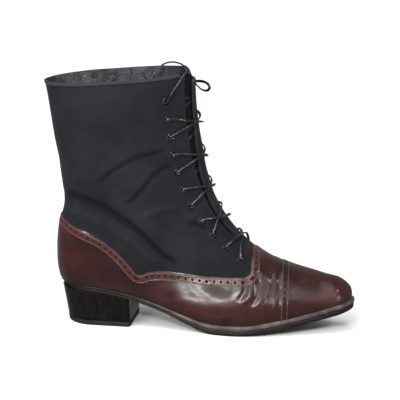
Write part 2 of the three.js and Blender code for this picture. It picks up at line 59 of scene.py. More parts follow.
# Driving sizes, the same as the solids'
SOLE_LENGTH, BALL_WIDTH, HEEL_BACK, SEAT_HEIGHT = 276.5, 72.0, 37.5, 40.0
TOE_SPRING, SHAFT_HEIGHT, SHAFT_WIDTH, WALL = 23.0, 186.0, 64.0, 2.2
RAISE, TOE_ROUND, COLLAR_CORNER, FACING_SET_BACK = 0.9, 12.0, 8.0, 6.0
WELT_THICK, OUTSOLE_THICK, WELT_PROUD, OUTSOLE_PROUD = 4.0, 5.0, 3.0, 2.5
HEEL_LENGTH, HEEL_WIDTH, HEEL_RAKE, HEEL_FLARE = 61.0, 50.0, 6.5, 3.6
BREAST_FILLET, LIFT_THICK, LIFT_PROUD, HEEL_CORNER = 8.0, 4.5, 0.4, 3.0
EYELETS, EYELET_SPREAD, GAP = 11, 26.0, 0.3
FIRST_EYELET, LAST_EYELET, THROAT_FOOT = 19.55, 9.15, 9.1
HEEL_ROW, COLLAR_ROW, TOP_ROW, CAP_SEAM = 14, 21, 22, 0.765
SPRING_START, SPRING_POWER, FILLET_START = 0.63, 1.3, 0.6

# Last's sections: front place and height, back place and height, depth, roundness
SECTIONS = np.array([
    (0.9800, 0.032, 0.9800, -0.075, 0.08, 2.0), (0.9755, 0.054, 0.9755, -0.075, 0.12, 2.0),
    (0.9600, 0.086, 0.9600, -0.075, 0.20, 2.0), (0.9350, 0.119, 0.9350, -0.075, 0.27, 2.0),
    (0.8900, 0.151, 0.8900, -0.075, 0.33, 2.0), (0.8300, 0.194, 0.8300, -0.075, 0.40, 2.1),
    (0.7650, 0.245, 0.7650, -0.075, 0.48, 2.2), (0.7050, 0.298, 0.7050, -0.075, 0.53, 2.3),
    (0.6600, 0.350, 0.6600, -0.075, 0.53, 2.5), (0.6290, 0.390, 0.6150, -0.075, 0.51, 2.6),
    (0.5920, 0.442, 0.5500, -0.075, 0.52, 2.6), (0.5610, 0.500, 0.4600, -0.075, 0.55, 2.5),
    (0.5320, 0.568, 0.3300, -0.075, 0.58, 2.4), (0.5100, 0.634, 0.1700, -0.075, 0.62, 2.3),
    (0.4960, 0.700, 0.0120, -0.035, 0.66, 2.2), (0.4830, 0.776, -0.018, 0.120, 0.70, 2.1),
    (0.4730, 0.862, -0.010, 0.280, 0.73, 2.0), (0.4640, 0.940, 0.0060, 0.405, 0.75, 2.0),
    (0.4570, 1.015, -0.008, 0.570, 0.77, 2.0), (0.4520, 1.085, -0.025, 0.710, 0.78, 2.0),
    (0.4490, 1.156, -0.043, 0.865, 0.79, 2.0), (0.4480, 1.225, -0.063, 1.010, 0.80, 2.0),
    (0.4480, 1.290, -0.077, 1.080, 0.80, 2.0),
])

# Outline of the last's bottom: place, half width, middle, how far the welt stands proud
PLAN = np.array([
    (0.00, 0.390, 0.000, 0.3), (0.13, 0.405, 0.000, 0.3), (0.24, 0.390, -0.010, 0.3),
    (0.35, 0.355, -0.045, 0.4), (0.44, 0.370, -0.050, 0.6), (0.53, 0.430, -0.030, 0.9),
    (0.61, 0.480, 0.000, 1.0), (0.67, 0.480, 0.025, 1.0), (0.74, 0.440, 0.045, 1.0),
    (0.81, 0.375, 0.055, 1.0), (0.88, 0.295, 0.065, 1.0), (0.94, 0.225, 0.070, 1.2),
    (1.00, 0.170, 0.080, 1.4),
])
LEG = np.array([(0, 0.445, 0.45), (0.12, 0.475, 0.50), (0.35, 0.475, 0.60), (0.60, 0.480, 0.72),
                (1.00, 0.500, 0.84), (1.30, 0.500, 0.84)])
SOLE_LINE = np.array([
    (0.00, 1.00, 0.55), (0.12, 0.97, 0.55), (0.20, 0.87, 0.55), (0.26, 0.77, 0.56), (0.35, 0.54, 0.60),
    (0.44, 0.24, 0.78), (0.49, 0.08, 0.92), (0.54, 0.00, 1.00), (0.64, 0.00, 1.00), (1.00, 0.00, 1.00),
])
FOXING = np.array([
    (-0.050, 0.350), (0.012, 0.327), (0.049, 0.303), (0.097, 0.280), (0.142, 0.256), (0.179, 0.232),
    (0.208, 0.204), (0.237, 0.170), (0.259, 0.139), (0.280, 0.109), (0.289, 0.124), (0.311, 0.148),
    (0.348, 0.173), (0.385, 0.194), (0.440, 0.218), (0.511, 0.239), (0.584, 0.247), (0.640, 0.248),
    (0.654, 0.256), (0.659, 0.275), (0.656, 0.343), (0.640, 0.392), (0.632, 0.470),
])


def smooth_curve(places, values):
    """A smooth curve through a table that never swings past its rows."""
    places, values = np.asarray(places, float), np.asarray(values, float)
    spans = np.diff(places)
    rise = np.diff(values) / spans
    slopes = np.concatenate([rise[:1], np.zeros(len(rise) - 1), rise[-1:]])
    both = rise[:-1] * rise[1:]
    keep = both > 0
    slopes[1:-1][keep] = 2 * both[keep] / (rise[:-1] + rise[1:])[keep]

    def curve(at):
        i = np.clip(np.searchsorted(places, at, side="left") - 1, 0, len(spans) - 1)
        k = np.clip((at - places[i]) / spans[i], 0, 1)
        bend = k * (1 - k) * spans[i] * (slopes[i] * (1 - k) - slopes[i + 1] * k)
        return values[i] + (values[i + 1] - values[i]) * k * k * (3 - 2 * k) + bend

    return curve


ROWS = np.arange(len(SECTIONS))
front_at, front_up, back_at, back_up, front_depth, front_round = (
    smooth_curve(ROWS, SECTIONS[:, i]) for i in range(6))
plan_half, plan_middle, plan_proud = (smooth_curve(PLAN[:, 0], PLAN[:, i]) for i in (1, 2, 3))
leg_half, leg_round = (smooth_curve(LEG[:, 0], LEG[:, i]) for i in (1, 2))
sole_lift, sole_thick = (smooth_curve(SOLE_LINE[:, 0], SOLE_LINE[:, i]) for i in (1, 2))

FULL_THICK = WELT_THICK + OUTSOLE_THICK + 2 * GAP
HEEL_RISE = SEAT_HEIGHT - FULL_THICK * SOLE_LINE[0, 2]


def share_along(x):
    return (x + HEEL_BACK) / SOLE_LENGTH


def place_along(share):
    return share * SOLE_LENGTH - HEEL_BACK


def underside(x):
    share = share_along(x)
    spring = np.clip((share - SPRING_START) / (1 - SPRING_START), 0, 1)
    return HEEL_RISE * sole_lift(share) + TOE_SPRING * spring ** SPRING_POWER


def thickness(x):
    return sole_thick(share_along(x))


def feather(x):
    return underside(x) + FULL_THICK * thickness(x)


def smoothstep(value, low, high):
    k = np.clip((value - low) / (high - low), 0, 1)
    return k * k * (3 - 2 * k)


def rounded(share, power=2.0):
    return (1 - (1 - np.clip(share, 0, 1)) ** power) ** (1 / power)


def section_front(row):
    x = place_along(front_at(row))
    return x, feather(x) + SHAFT_HEIGHT * front_up(row)


def section_back(row):
    x = place_along(back_at(row))
    return x, feather(x) + SHAFT_HEIGHT * back_up(row)


BACK_X, BACK_Z = section_back(np.linspace(HEEL_ROW, TOP_ROW, 41))
back_line = smooth_curve(BACK_Z, BACK_X)
TOE_END = place_along(SECTIONS[0, 0]) + GAP


def last_point(row, turn):
    """Points on the last: turn runs from -1 at the back along the lateral side to 0 at the front."""
    front_x, front_z = section_front(row)
    back_x, back_z = section_back(row)
    mix = (1 - np.cos(math.pi * (1 - np.abs(turn)))) / 2
    x = back_x + (front_x - back_x) * mix
    z = back_z + (front_z - back_z) * mix
    share = share_along(x)
    leg_share = smoothstep((z - feather(x)) / SHAFT_HEIGHT, 0.1, 0.45)
    up = (z - SEAT_HEIGHT) / SHAFT_HEIGHT
    foot = BALL_WIDTH * plan_half(share)
    half = foot + (SHAFT_WIDTH * leg_half(up) - foot) * leg_share
    middle = BALL_WIDTH * plan_middle(share) * (1 - leg_share)
    away = np.hypot(front_x - x, front_z - z)
    taper = (rounded((TOE_END - x) / TOE_ROUND)
             * rounded((x - back_line(z)) / (SHAFT_WIDTH * leg_round(up)))
             * rounded(away / (BALL_WIDTH * front_depth(row)), front_round(row)))
    y = middle + np.sign(turn) * half * taper
    return np.stack([x, y, z], axis=-1)


def last_normal(row, turn, near=0.02):
    row, turn = np.broadcast_arrays(np.asarray(row, float), np.asarray(turn, float))
    up_way = last_point(np.minimum(row + near, TOP_ROW), turn) - last_point(np.maximum(row - near, 0), turn)
    around = last_point(row, np.minimum(turn + near, 1)) - last_point(row, np.maximum(turn - near, -1))
    normal = np.cross(around, up_way)
    normal[..., 1] = np.where(np.abs(turn) > 0.9999, 0, normal[..., 1])
    return normal / np.maximum(np.linalg.norm(normal, axis=-1, keepdims=True), 1e-9)


def offset_point(row, turn, offset):
    return last_point(row, turn) + last_normal(row, turn) * np.asarray(offset)[..., None]


def bisect(low, high, test, steps=34):
    """The place between two arrays where a test stops being true."""
    low, high = np.array(low, float), np.array(high, float)
    for _ in range(steps):
        middle = (low + high) / 2
        inside = test(middle)
        low = np.where(inside, middle, low)
        high = np.where(inside, high, middle)
    return (low + high) / 2


# Rim line of the collar with its rounded front corners
COLLAR_BACK, COLLAR_FRONT = section_back(COLLAR_ROW), section_front(COLLAR_ROW)
RIM_SLOPE = (COLLAR_FRONT[1] - COLLAR_BACK[1]) / (COLLAR_FRONT[0] - COLLAR_BACK[0])
FACING_X = COLLAR_FRONT[0] - FACING_SET_BACK


def rim_height(x):
    straight = COLLAR_BACK[1] + RIM_SLOPE * (np.minimum(x, FACING_X) - COLLAR_BACK[0])
    reach = np.clip((x - FACING_X + COLLAR_CORNER) / COLLAR_CORNER, 0, 1)
    corner = COLLAR_CORNER * (1 - np.sqrt(np.maximum(1 - reach ** 2, 0)))
    return np.where(x > FACING_X - COLLAR_CORNER, COLLAR_BACK[1] + RIM_SLOPE * (FACING_X - COLLAR_BACK[0])
                    - corner, straight)


# Table of turns: for each section and side, from the front edge (share 0) to the back or bottom edge
TABLE_ROWS = np.linspace(0.0, TOP_ROW, 441)
TABLE_SHARES = np.linspace(0, 1, 161)


# The toe cap's seam runs a little askew, further back on the medial side
CAP_BACK, CAP_SKEW = 2.2, 0.085

# How far out each facing's edge lies, by section. The medial facing reaches over the middle, so its
# places are negative.
FACING_EDGES = {
    -1: smooth_curve([9.1, 10, 11, 13, 15, 17, 18, 20, 22],
                     [6.5, 13.0, 16.2, 16.4, 16.6, 17.0, 17.0, 15.8, 15.0]),
    1: smooth_curve([9.1, 10, 11, 13, 14, 15, 17, 18, 20, 22],
                    [-3.5, -7.5, -10.0, -11.8, -12.0, -11.2, -8.6, -7.0, -5.0, -3.5]),
}


def turn_table(side):
    slit = FACING_EDGES[side](TABLE_ROWS) * smoothstep(TABLE_ROWS, THROAT_FOOT - 0.15, THROAT_FOOT + 0.3)
    front = bisect(np.full_like(slit, -0.4), np.full_like(slit, 0.4),
                   lambda t: side * last_point(TABLE_ROWS, side * t)[..., 1] < slit)
    front = np.where(np.abs(slit) < 1e-6, 0, front)
    back = bisect(np.full_like(slit, 0.3), np.ones_like(slit),
                  lambda t: (lambda p: p[..., 2] > feather(p[..., 0]))(last_point(TABLE_ROWS, side * t)))
    fine = np.linspace(0, 1, 321)
    turns = front[:, None] + (back - front)[:, None] * fine[None, :]
    points = last_point(TABLE_ROWS[:, None], side * turns)
    reach = np.concatenate([np.zeros((len(TABLE_ROWS), 1)),
                            np.cumsum(np.linalg.norm(np.diff(points, axis=1), axis=2), axis=1)], axis=1)
    out = np.empty((len(TABLE_ROWS), len(TABLE_SHARES)))
    for i in range(len(TABLE_ROWS)):
        out[i] = np.interp(TABLE_SHARES * reach[i, -1], reach[i], turns[i])
    return side * out


TURNS = {side: turn_table(side) for side in (-1, 1)}


def turn_at(side, row, share):
    """Turn on one side for rows and shares of the way from the front edge to the back edge."""
    r = np.clip(row / TOP_ROW * (len(TABLE_ROWS) - 1), 0, len(TABLE_ROWS) - 1.001)
    s = np.clip(share * (len(TABLE_SHARES) - 1), 0, len(TABLE_SHARES) - 1.001)
    i, j = r.astype(int), s.astype(int)
    a, b = r - i, s - j
    table = TURNS[side]
    return ((table[i, j] * (1 - b) + table[i, j + 1] * b) * (1 - a)
            + (table[i + 1, j] * (1 - b) + table[i + 1, j + 1] * b) * a)


RIM_FROM = 18.0


def upper_grid(side, row_steps, share_steps):
    """Rows and turns of a grid over one side, from the toe to the collar's rim."""
    shares = np.linspace(0, 1, share_steps + 1)
    top = bisect(np.full_like(shares, RIM_FROM), np.full_like(shares, TOP_ROW),
                 lambda r: (lambda p: p[..., 2] < rim_height(p[..., 0]))(
                     last_point(r, turn_at(side, r, shares))))
    steps = np.linspace(0, 1, row_steps + 1)
    base = steps * (RIM_FROM + 3)
    rows = np.where(base[:, None] < RIM_FROM, base[:, None],
                    RIM_FROM + (base[:, None] - RIM_FROM) / 3 * (top[None, :] - RIM_FROM))
    return rows, turn_at(side, rows, np.broadcast_to(shares[None, :], rows.shape))


def polyline_distance(points, line):
    """Distance from 2-D points to a polyline, and the share of the polyline's length at the nearest place."""
    line = np.asarray(line, float)
    lengths = np.linalg.norm(np.diff(line, axis=0), axis=1)
    starts = np.concatenate([[0], np.cumsum(lengths)])
    best = np.full(points.shape[:-1], 1e9)
    place = np.zeros(points.shape[:-1])
    for i, length in enumerate(lengths):
        a, d = line[i], (line[i + 1] - line[i]) / length
        k = np.clip(((points - a) * d).sum(-1), 0, length)
        away = np.linalg.norm(points - (a + k[..., None] * d), axis=-1)
        nearer = away < best
        best = np.where(nearer, away, best)
        place = np.where(nearer, starts[i] + k, place)
    return best, place / starts[-1]


FOXING_EDGE = np.stack([place_along(FOXING[:, 0]),
                        feather(place_along(FOXING[:, 0])) + SHAFT_HEIGHT * FOXING[:, 1]], axis=1)


def above_foxing(x, z):
    """True where the cloth is, above the brown leather's edge in the side view."""
    level = np.interp(x, FOXING_EDGE[:18, 0], FOXING_EDGE[:18, 1])
    tab_x = np.interp(z, FOXING_EDGE[17:, 1], FOXING_EDGE[17:, 0])
    return (z > level) & (x < tab_x)


# Creases and soft ridges of the shaft and vamp, in the side view: points, depth, width, side
CREASES = [
    # deep crease from the back of the ankle down to the instep
    ([(-36, 119), (-26, 125), (-13, 122), (8, 115), (23, 105), (34, 98), (44, 92)], 3.4, 4.8, -1),
    ([(34, 98), (44, 91), (54, 80), (64, 71), (79, 64)], 3.0, 3.2, -1),
    ([(66, 172), (53, 169), (39, 165), (24, 157), (14, 150), (5, 142), (-4, 132)], 2.3, 2.8, -1),
    ([(74, 160), (62, 155), (52, 147), (45, 137), (34, 125), (24, 116)], 2.4, 2.8, -1),
    ([(35, 105), (45, 111), (59, 117), (79, 121)], -1.3, 4.5, -1),
    ([(84, 109), (95, 113)], -1.2, 3.2, -1),
    ([(86, 103), (95, 104), (104, 98)], 1.8, 3.2, -1),
    ([(-30, 108), (-18, 110), (-4, 106), (10, 99)], -1.2, 4.5, -1),
    ([(-32, 96), (-18, 97), (2, 92), (22, 80)], 0.9, 4.5, -1),
    ([(20, 92), (34, 84), (48, 72), (60, 62)], -1.0, 4.5, -1),
    ([(-40, 160), (-24, 152), (-6, 150), (12, 160)], 0.6, 7.0, -1),
    ([(60, 100), (72, 98), (86, 90)], 0.8, 3.5, -1),
    ([(10, 128), (26, 136), (40, 146)], -0.8, 5.0, -1),
    ([(-36, 119), (-24, 124), (-8, 124), (12, 118), (30, 108), (48, 96), (66, 84)], 2.4, 4.0, 1),
    ([(70, 168), (52, 164), (34, 156), (16, 146), (2, 134)], 1.5, 4.2, 1),
    ([(76, 152), (62, 146), (50, 136), (36, 126)], 1.4, 3.8, 1),
    ([(30, 116), (48, 118), (70, 122)], -1.1, 4.5, 1),
    ([(88, 106), (74, 98), (58, 90)], 1.2, 4.0, 1),
    ([(-30, 106), (-10, 108), (14, 98)], -1.0, 5.0, 1),
    # vamp creases behind the toe cap and over the ball
    ([(150, 62), (152, 50), (151, 38), (146, 28)], 0.9, 2.4, -1),
    ([(143, 64), (146, 52), (144, 40), (138, 30)], -0.5, 3.0, -1),
    ([(158, 58), (161, 48), (160, 38)], -0.5, 2.2, -1),
    ([(150, 62), (153, 50), (153, 38), (150, 28)], 0.9, 2.6, 1),
    ([(138, 66), (141, 54), (140, 42), (133, 32)], 0.6, 3.0, -1),
    ([(142, 64), (144, 50), (142, 36)], 0.6, 3.2, 1),
    ([(104, 50), (116, 46), (128, 40)], 0.4, 4.5, -1),
    ([(86, 42), (98, 36), (110, 30)], 0.35, 5.0, -1),
]


def crease_depth(points, side):
    """How far the surface moves in or out at points, from the table of creases."""
    flat = points[..., [0, 2]]
    depth = np.zeros(points.shape[:-1])
    for line, deep, width, which in CREASES:
        if which != side:
            continue
        away, place = polyline_distance(flat, line)
        fade = smoothstep(place, -0.02, 0.15) * (1 - smoothstep(place, 0.8, 1.02))
        k = away / width
        depth -= deep * fade * (1 - 0.5 * k ** 2) * np.exp(-k ** 2 / 1.4)
    return depth


def wavy(points):
    """A slow unevenness of worn cloth and leather, in millimetres."""
    x, y, z = points[..., 0], points[..., 1], points[..., 2]
    return (0.30 * np.sin(x / 11.0 + 1.7 * np.sin(z / 17.0)) * np.sin(z / 13.0 + y / 9.0 + 0.6)
            + 0.16 * np.sin(x / 5.3 + z / 7.7 + 2.1 * np.sin(y / 8.0)))


def mesh_piece(name, points, faces, attributes=None, merge=0.02):
    """A smooth mesh object from points in millimetres, with its doubles merged and faces outwards."""
    mesh = bpy.data.meshes.new(name)
    mesh.from_pydata((np.asarray(points) * MM).tolist(), [], [list(map(int, f)) for f in faces])
    for key, values in (attributes or {}).items():
        layer = mesh.attributes.new(key, "FLOAT", "POINT")
        layer.data.foreach_set("value", np.asarray(values, np.float32).ravel())
    mesh.polygons.foreach_set("use_smooth", np.ones(len(mesh.polygons), bool))
    shape = bmesh.new()
    shape.from_mesh(mesh)
    bmesh.ops.remove_doubles(shape, verts=shape.verts, dist=merge * MM)
    bmesh.ops.recalc_face_normals(shape, faces=shape.faces)
    shape.to_mesh(mesh)
    shape.free()
    mesh.update()
    piece = bpy.data.objects.new(name, mesh)
    bpy.context.scene.collection.objects.link(piece)
    return piece


def grid_faces(rows, columns, start=0, flip=False):
    i, j = np.meshgrid(np.arange(rows - 1), np.arange(columns - 1), indexing="ij")
    a = (start + i * columns + j).ravel()
    quads = np.stack([a, a + 1, a + columns + 1, a + columns], axis=1)
    return quads[:, ::-1] if flip else quads


def ring_faces(rings, count, start=0):
    """Quads between rings of points that lie one after another, each closed on itself."""
    return [[start + r * count + k, start + r * count + (k + 1) % count,
             start + (r + 1) * count + (k + 1) % count, start + (r + 1) * count + k]
            for r in range(rings - 1) for k in range(count)]


# Brown leather's edge as points on the surface, with the length run along it
def edge_points(side):
    rows, turns = upper_grid(side, 240, 120)
    points = last_point(rows, turns)
    cloth = above_foxing(points[..., 0], points[..., 2])
    away = polyline_distance(points[..., [0, 2]], FOXING_EDGE)[0] * np.where(cloth, 1, -1)
    found = []
    for a, b, pa, pb in ((away[:-1], away[1:], points[:-1], points[1:]),
                         (away[:, :-1], away[:, 1:], points[:, :-1], points[:, 1:])):
        crossed = (a * b) < 0
        k = (a / np.where(crossed, a - b, 1))[crossed][:, None]
        found.append(pa[crossed] * (1 - k) + pb[crossed] * k)
    found = np.concatenate(found)
    place = polyline_distance(found[:, [0, 2]], FOXING_EDGE)[1]
    found = found[np.argsort(place)]
    reach = np.concatenate([[0], np.cumsum(np.linalg.norm(np.diff(found, axis=0), axis=1))])
    smooth = np.arange(0, reach[-1], 1.2)
    thin = np.stack([np.interp(smooth, reach, found[:, k]) for k in range(3)], axis=1)
    for _ in range(4):
        thin[1:-1] = (thin[:-2] + 2 * thin[1:-1] + thin[2:]) / 4
    reach = np.concatenate([[0], np.cumsum(np.linalg.norm(np.diff(thin, axis=0), axis=1))])
    run = np.arange(0, reach[-1], 0.25)
    return np.stack([np.interp(run, reach, thin[:, k]) for k in range(3)], axis=1), run


def edge_values(side, points, limit=16.0):
    """Signed distance to the leather's edge and the run along it, for points on one side."""
    line, run = edge_points(side)
    tree = KDTree(len(line))
    for i, p in enumerate(line):
        tree.insert(p, i)
    tree.balance()
    flat = points.reshape(-1, 3)
    rough = polyline_distance(flat[:, [0, 2]], FOXING_EDGE)[0]
    away = np.minimum(rough, limit)
    place = np.zeros(len(flat))
    for i in np.nonzero(rough < limit)[0]:
        _, index, distance = tree.find(flat[i])
        away[i], place[i] = min(distance, limit), run[index]
    cloth = above_foxing(flat[:, 0], flat[:, 2])
    return (away * np.where(cloth, 1, -1)).reshape(points.shape[:-1]), place.reshape(points.shape[:-1])


# Places of the stitch rows behind the facing's edge and under the rim, and steps of a turned edge
FACING_STITCH, RIM_STITCH, TURNED_DEPTHS = 5.0, 3.4, (-0.35, -0.8, -1)


def upper_skin(name, row_steps, share_steps, inner, detailed):
    """The upper's outer or inner skin with its turned edges, as one mesh."""
    starts, points, faces, values = [], [], [], {}
    for side in (-1, 1):
        rows, turns = upper_grid(side, row_steps, share_steps)
        base = last_point(rows, turns)
        normal = last_normal(rows, turns)
        if detailed:
            edge, run = edge_values(side, base)
        else:
            edge, run = np.full(rows.shape, 9.0), np.zeros(rows.shape)
        cap = base[..., 0] - place_along(CAP_SEAM) + CAP_BACK + CAP_SKEW * (base[..., 1] + 25)
        height = base[..., 2] - feather(base[..., 0])
        seam = smoothstep(np.abs(turns), 0.88, 1.0) + 1 - smoothstep(np.abs(turns), 0.0, 0.08)
        crease = crease_depth(base, side) * (1 - 0.5 * seam) + crease_depth(base, -side) * 0.5 * seam
        rim = rim_height(base[..., 0]) - base[..., 2]
        crease = crease * smoothstep(height, 2, 14) * smoothstep(rim, 0, 12)
        step = np.linalg.norm(np.diff(base, axis=1), axis=2)
        ring = np.concatenate([np.zeros((len(rows), 1)), np.cumsum(step, axis=1)], axis=1)
        slit = np.where(rows > THROAT_FOOT, ring, 99.0)
        offset = crease + wavy(base) * smoothstep(height, 2, 12)
        if detailed:
            brown = 1 - smoothstep(edge, -0.7, 0.5)
            offset = offset + RAISE * brown + RAISE * smoothstep(cap, -0.6, 0.5)
            puff = np.exp(-((cap + 4.5) / 3.0) ** 2) * 0.5
            offset = offset + puff * smoothstep(height, 3, 12)
            offset = offset - 0.25 * np.exp(-((slit - FACING_STITCH) / 0.9) ** 2)
            offset = offset + 0.55 * np.exp(-((rim - 1.3) / 1.3) ** 2)
            offset = offset - 0.3 * np.exp(-((rim - RIM_STITCH) / 0.9) ** 2)
        if inner:
            offset = 0.8 * crease - WALL
        here = {"edge": edge, "run": run, "cap": cap, "ring": ring * side, "height": height, "slit": slit,
                "crease": crease, "rim": rim}
        start, count = len(points), rows.shape[1]
        starts.append(start)
        faces.extend(grid_faces(rows.shape[0], count, start, flip=(side == 1) != inner).tolist())
        points.extend((base + normal * offset[..., None]).reshape(-1, 3).tolist())
        for key, value in here.items():
            values.setdefault(key, []).extend(value.ravel().tolist())
        if inner:
            continue
        # turned edges of the rim, the facing and the bottom, inwards by the wall
        down, along = np.arange(rows.shape[0]), np.arange(count)
        front, bottom = rows[:, 0] > THROAT_FOOT - 0.1, rows[:, -1] < HEEL_ROW + 0.5
        for bi, bj in ((np.full(count, down[-1]), along), (down[front], np.zeros(front.sum(), int)),
                       (down[bottom], np.full(bottom.sum(), along[-1]))):
            first, n = len(points), len(bi)
            outer = start + bi * count + bj
            for depth in TURNED_DEPTHS:
                points.extend((base[bi, bj] + normal[bi, bj] * depth * WALL).tolist())
                for key, value in here.items():
                    values[key].extend(value[bi, bj].tolist())
            for k in range(n - 1):
                faces.append([outer[k], outer[k + 1], first + k + 1, first + k])
                for layer in range(len(TURNED_DEPTHS) - 1):
                    a = first + layer * n + k
                    faces.append([a, a + 1, a + n + 1, a + n])
    # the toe's tip, closed between the two sides
    for j in range(share_steps):
        faces.append([starts[0] + j, starts[0] + j + 1, starts[1] + j + 1, starts[1] + j])
    return mesh_piece(name, points, faces, values)


upper = upper_skin("upper_shell", 240, 116, False, True)
lining = upper_skin("upper_lining", 120, 50, True, False)
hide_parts("upper")


# Tongue: a soft cloth sheet behind the throat
TONGUE_FOOT, TONGUE_TOP, TONGUE_HALF = 8.2, 20.55, 22.0


def tongue_sheet():
    rows = np.linspace(TONGUE_FOOT, TONGUE_TOP, 150)
    across = np.linspace(-1, 1, 45)
    base = np.empty((2, len(rows), len(across), 3))
    for i, row in enumerate(rows):
        probe = np.linspace(-0.75, 0.75, 601)
        inner = offset_point(np.full_like(probe, row), probe, np.full_like(probe, -WALL))
        half = TONGUE_HALF * (1 - 0.16 * smoothstep(row, 19.4, TONGUE_TOP) ** 2)
        turn = np.interp(across * half, inner[:, 1], probe)
        fold = (0.35 * np.sin(row * 2.9) * np.sin(across * 3 + row) + 0.25 * np.sin(row * 6.1 + across * 2))
        for layer, depth in enumerate((-WALL - 1.25, -WALL - 2.3)):
            base[layer, i] = offset_point(np.full_like(turn, row), turn, depth + fold * 0.7)
    count = len(across)
    outer, inner = base[0].reshape(-1, 3), base[1].reshape(-1, 3)
    faces = grid_faces(len(rows), count).tolist() + grid_faces(len(rows), count, len(outer), True).tolist()
    border = ([(0, j) for j in range(count)] + [(i, count - 1) for i in range(1, len(rows))]
              + [(len(rows) - 1, j) for j in range(count - 2, -1, -1)]
              + [(i, 0) for i in range(len(rows) - 2, -1, -1)])
    ids = [i * count + j for i, j in border]
    for a, b in zip(ids, ids[1:]):
        faces.append([a, b, b + len(outer), a + len(outer)])
    return mesh_piece("tongue_cloth", np.concatenate([outer, inner]), faces)


tongue = tongue_sheet()
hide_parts("tongue")


# Sole pieces: plates with a rounded edge round the last's outline
def sole_outline(count=150):
    t = np.linspace(0, 1, count + 1)
    back = float(BACK_X[0])
    x = back + (TOE_END - back) * (1 - np.cos(math.pi * t)) / 2
    share = share_along(x)
    half = (BALL_WIDTH * plan_half(share) * rounded((TOE_END - x) / TOE_ROUND)
            * rounded((x - back) / (SHAFT_WIDTH * LEG[0, 2])))
    middle = BALL_WIDTH * plan_middle(share)
    lateral = np.stack([x, middle - half], axis=1)
    medial = np.stack([x, middle + half], axis=1)
    return np.concatenate([lateral, medial[::-1][1:-1]])


OUTLINE = sole_outline()


def plate(name, rings, low, high, proud, count=14):
    """A closed plate: rings are (inset, share of height), low and high follow the sole."""
    outline = OUTLINE
    way = np.roll(outline, -1, axis=0) - np.roll(outline, 1, axis=0)
    normal = np.stack([way[:, 1], -way[:, 0]], axis=1)
    normal /= np.linalg.norm(normal, axis=1, keepdims=True)
    edge = proud * plan_proud(share_along(outline[:, 0]))
    points, inset_value = [], []
    for inset, share in rings:
        flat = outline + normal * (edge - inset)[:, None]
        z = low(flat[:, 0]) * (1 - share) + high(flat[:, 0]) * share
        points.append(np.column_stack([flat, z]))
        inset_value.append(np.full(len(flat), inset))
    n = len(outline)
    faces = ring_faces(len(rings), n)
    points = np.concatenate(points)
    run = np.concatenate([[0], np.cumsum(np.linalg.norm(np.diff(outline, axis=0), axis=1))])
    values = {"inset": list(np.concatenate(inset_value)), "run": list(np.tile(run, len(rings)))}
    half = n // 2
    for ring, flip in ((0, True), (len(rings) - 1, False)):
        start = ring * n
        first = len(points)
        extra = []
        for k in range(1, half):
            a, b = points[start + k], points[start + n - k]
            for m in range(1, count):
                extra.append(a + (b - a) * m / count)
        points = np.concatenate([points, np.array(extra)])
        values["inset"].extend([20.0] * len(extra))
        values["run"].extend([0.0] * len(extra))

        def at(k, m):
            if k == 0:
                return start
            if k == half:
                return start + half
            if m == 0:
                return start + k
            if m == count:
                return start + n - k
            return first + (k - 1) * (count - 1) + m - 1

        for k in range(half):
            for m in range(count):
                quad = [at(k, m), at(k + 1, m), at(k + 1, m + 1), at(k, m + 1)]
                face = list(dict.fromkeys(quad))
                if len(face) > 2:
                    faces.append(face[::-1] if flip else face)
    return mesh_piece(name, points, faces, values, 0.005)


def welt_top(x):
    return feather(x) - GAP


def welt_bottom(x):
    return welt_top(x) - WELT_THICK * thickness(x)


def outsole_top(x):
    return welt_bottom(x) - GAP


OUTSOLE_RINGS = [(14, 0), (5, 0), (1.4, 0), (0.45, 0.07), (0.05, 0.24), (0, 0.5), (0.05, 0.8), (0.4, 0.96),
                 (1.2, 1.0)]
WELT_RINGS = [(6, 0), (0.9, 0), (0.25, 0.08), (0, 0.3), (0, 0.62), (0.3, 0.86), (0.9, 0.98), (1.7, 1.06),
              (4.4, 1.08)]
outsole = plate("outsole_leather", OUTSOLE_RINGS, underside, outsole_top, OUTSOLE_PROUD)
welt = plate("welt_strip", WELT_RINGS, welt_bottom, welt_top, WELT_PROUD)
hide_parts("outsole")
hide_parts("welt")


# Heel: dense rings between the wearing lift and the seat
def heel_outline(z, grow):
    k = z / HEEL_RISE
    half = HEEL_WIDTH / 2 + HEEL_FLARE * k + grow
    back = -HEEL_LENGTH / 2 - HEEL_RAKE * k - grow
    fillet = BREAST_FILLET * max(0, (k - FILLET_START) / (1 - FILLET_START)) ** 2
    front = HEEL_LENGTH / 2 + 2 * k * HEEL_CORNER * (0.5 - k) + fillet + grow
    points = []
    for i in range(33):
        angle = i / 32 * math.pi / 2
        points.append((back + half * (1 - math.cos(angle)), half * math.sin(angle)))
    for i in range(1, 15):
        reach = i / 15 * (front - HEEL_CORNER - points[32][0])
        points.append((points[32][0] + reach, half))
    for i in range(9):
        angle = i / 8 * math.pi / 2
        points.append((front - HEEL_CORNER * (1 - math.sin(angle)),
                       half - HEEL_CORNER * (1 - math.cos(angle))))
    for i in range(1, 8):
        points.append((front, (half - HEEL_CORNER) * (1 - i / 8)))
    lateral = [(x, -y) for x, y in points]
    medial = [(x, y) for x, y in points[1:]][::-1]
    return np.array(lateral + [(front, 0)] + medial)


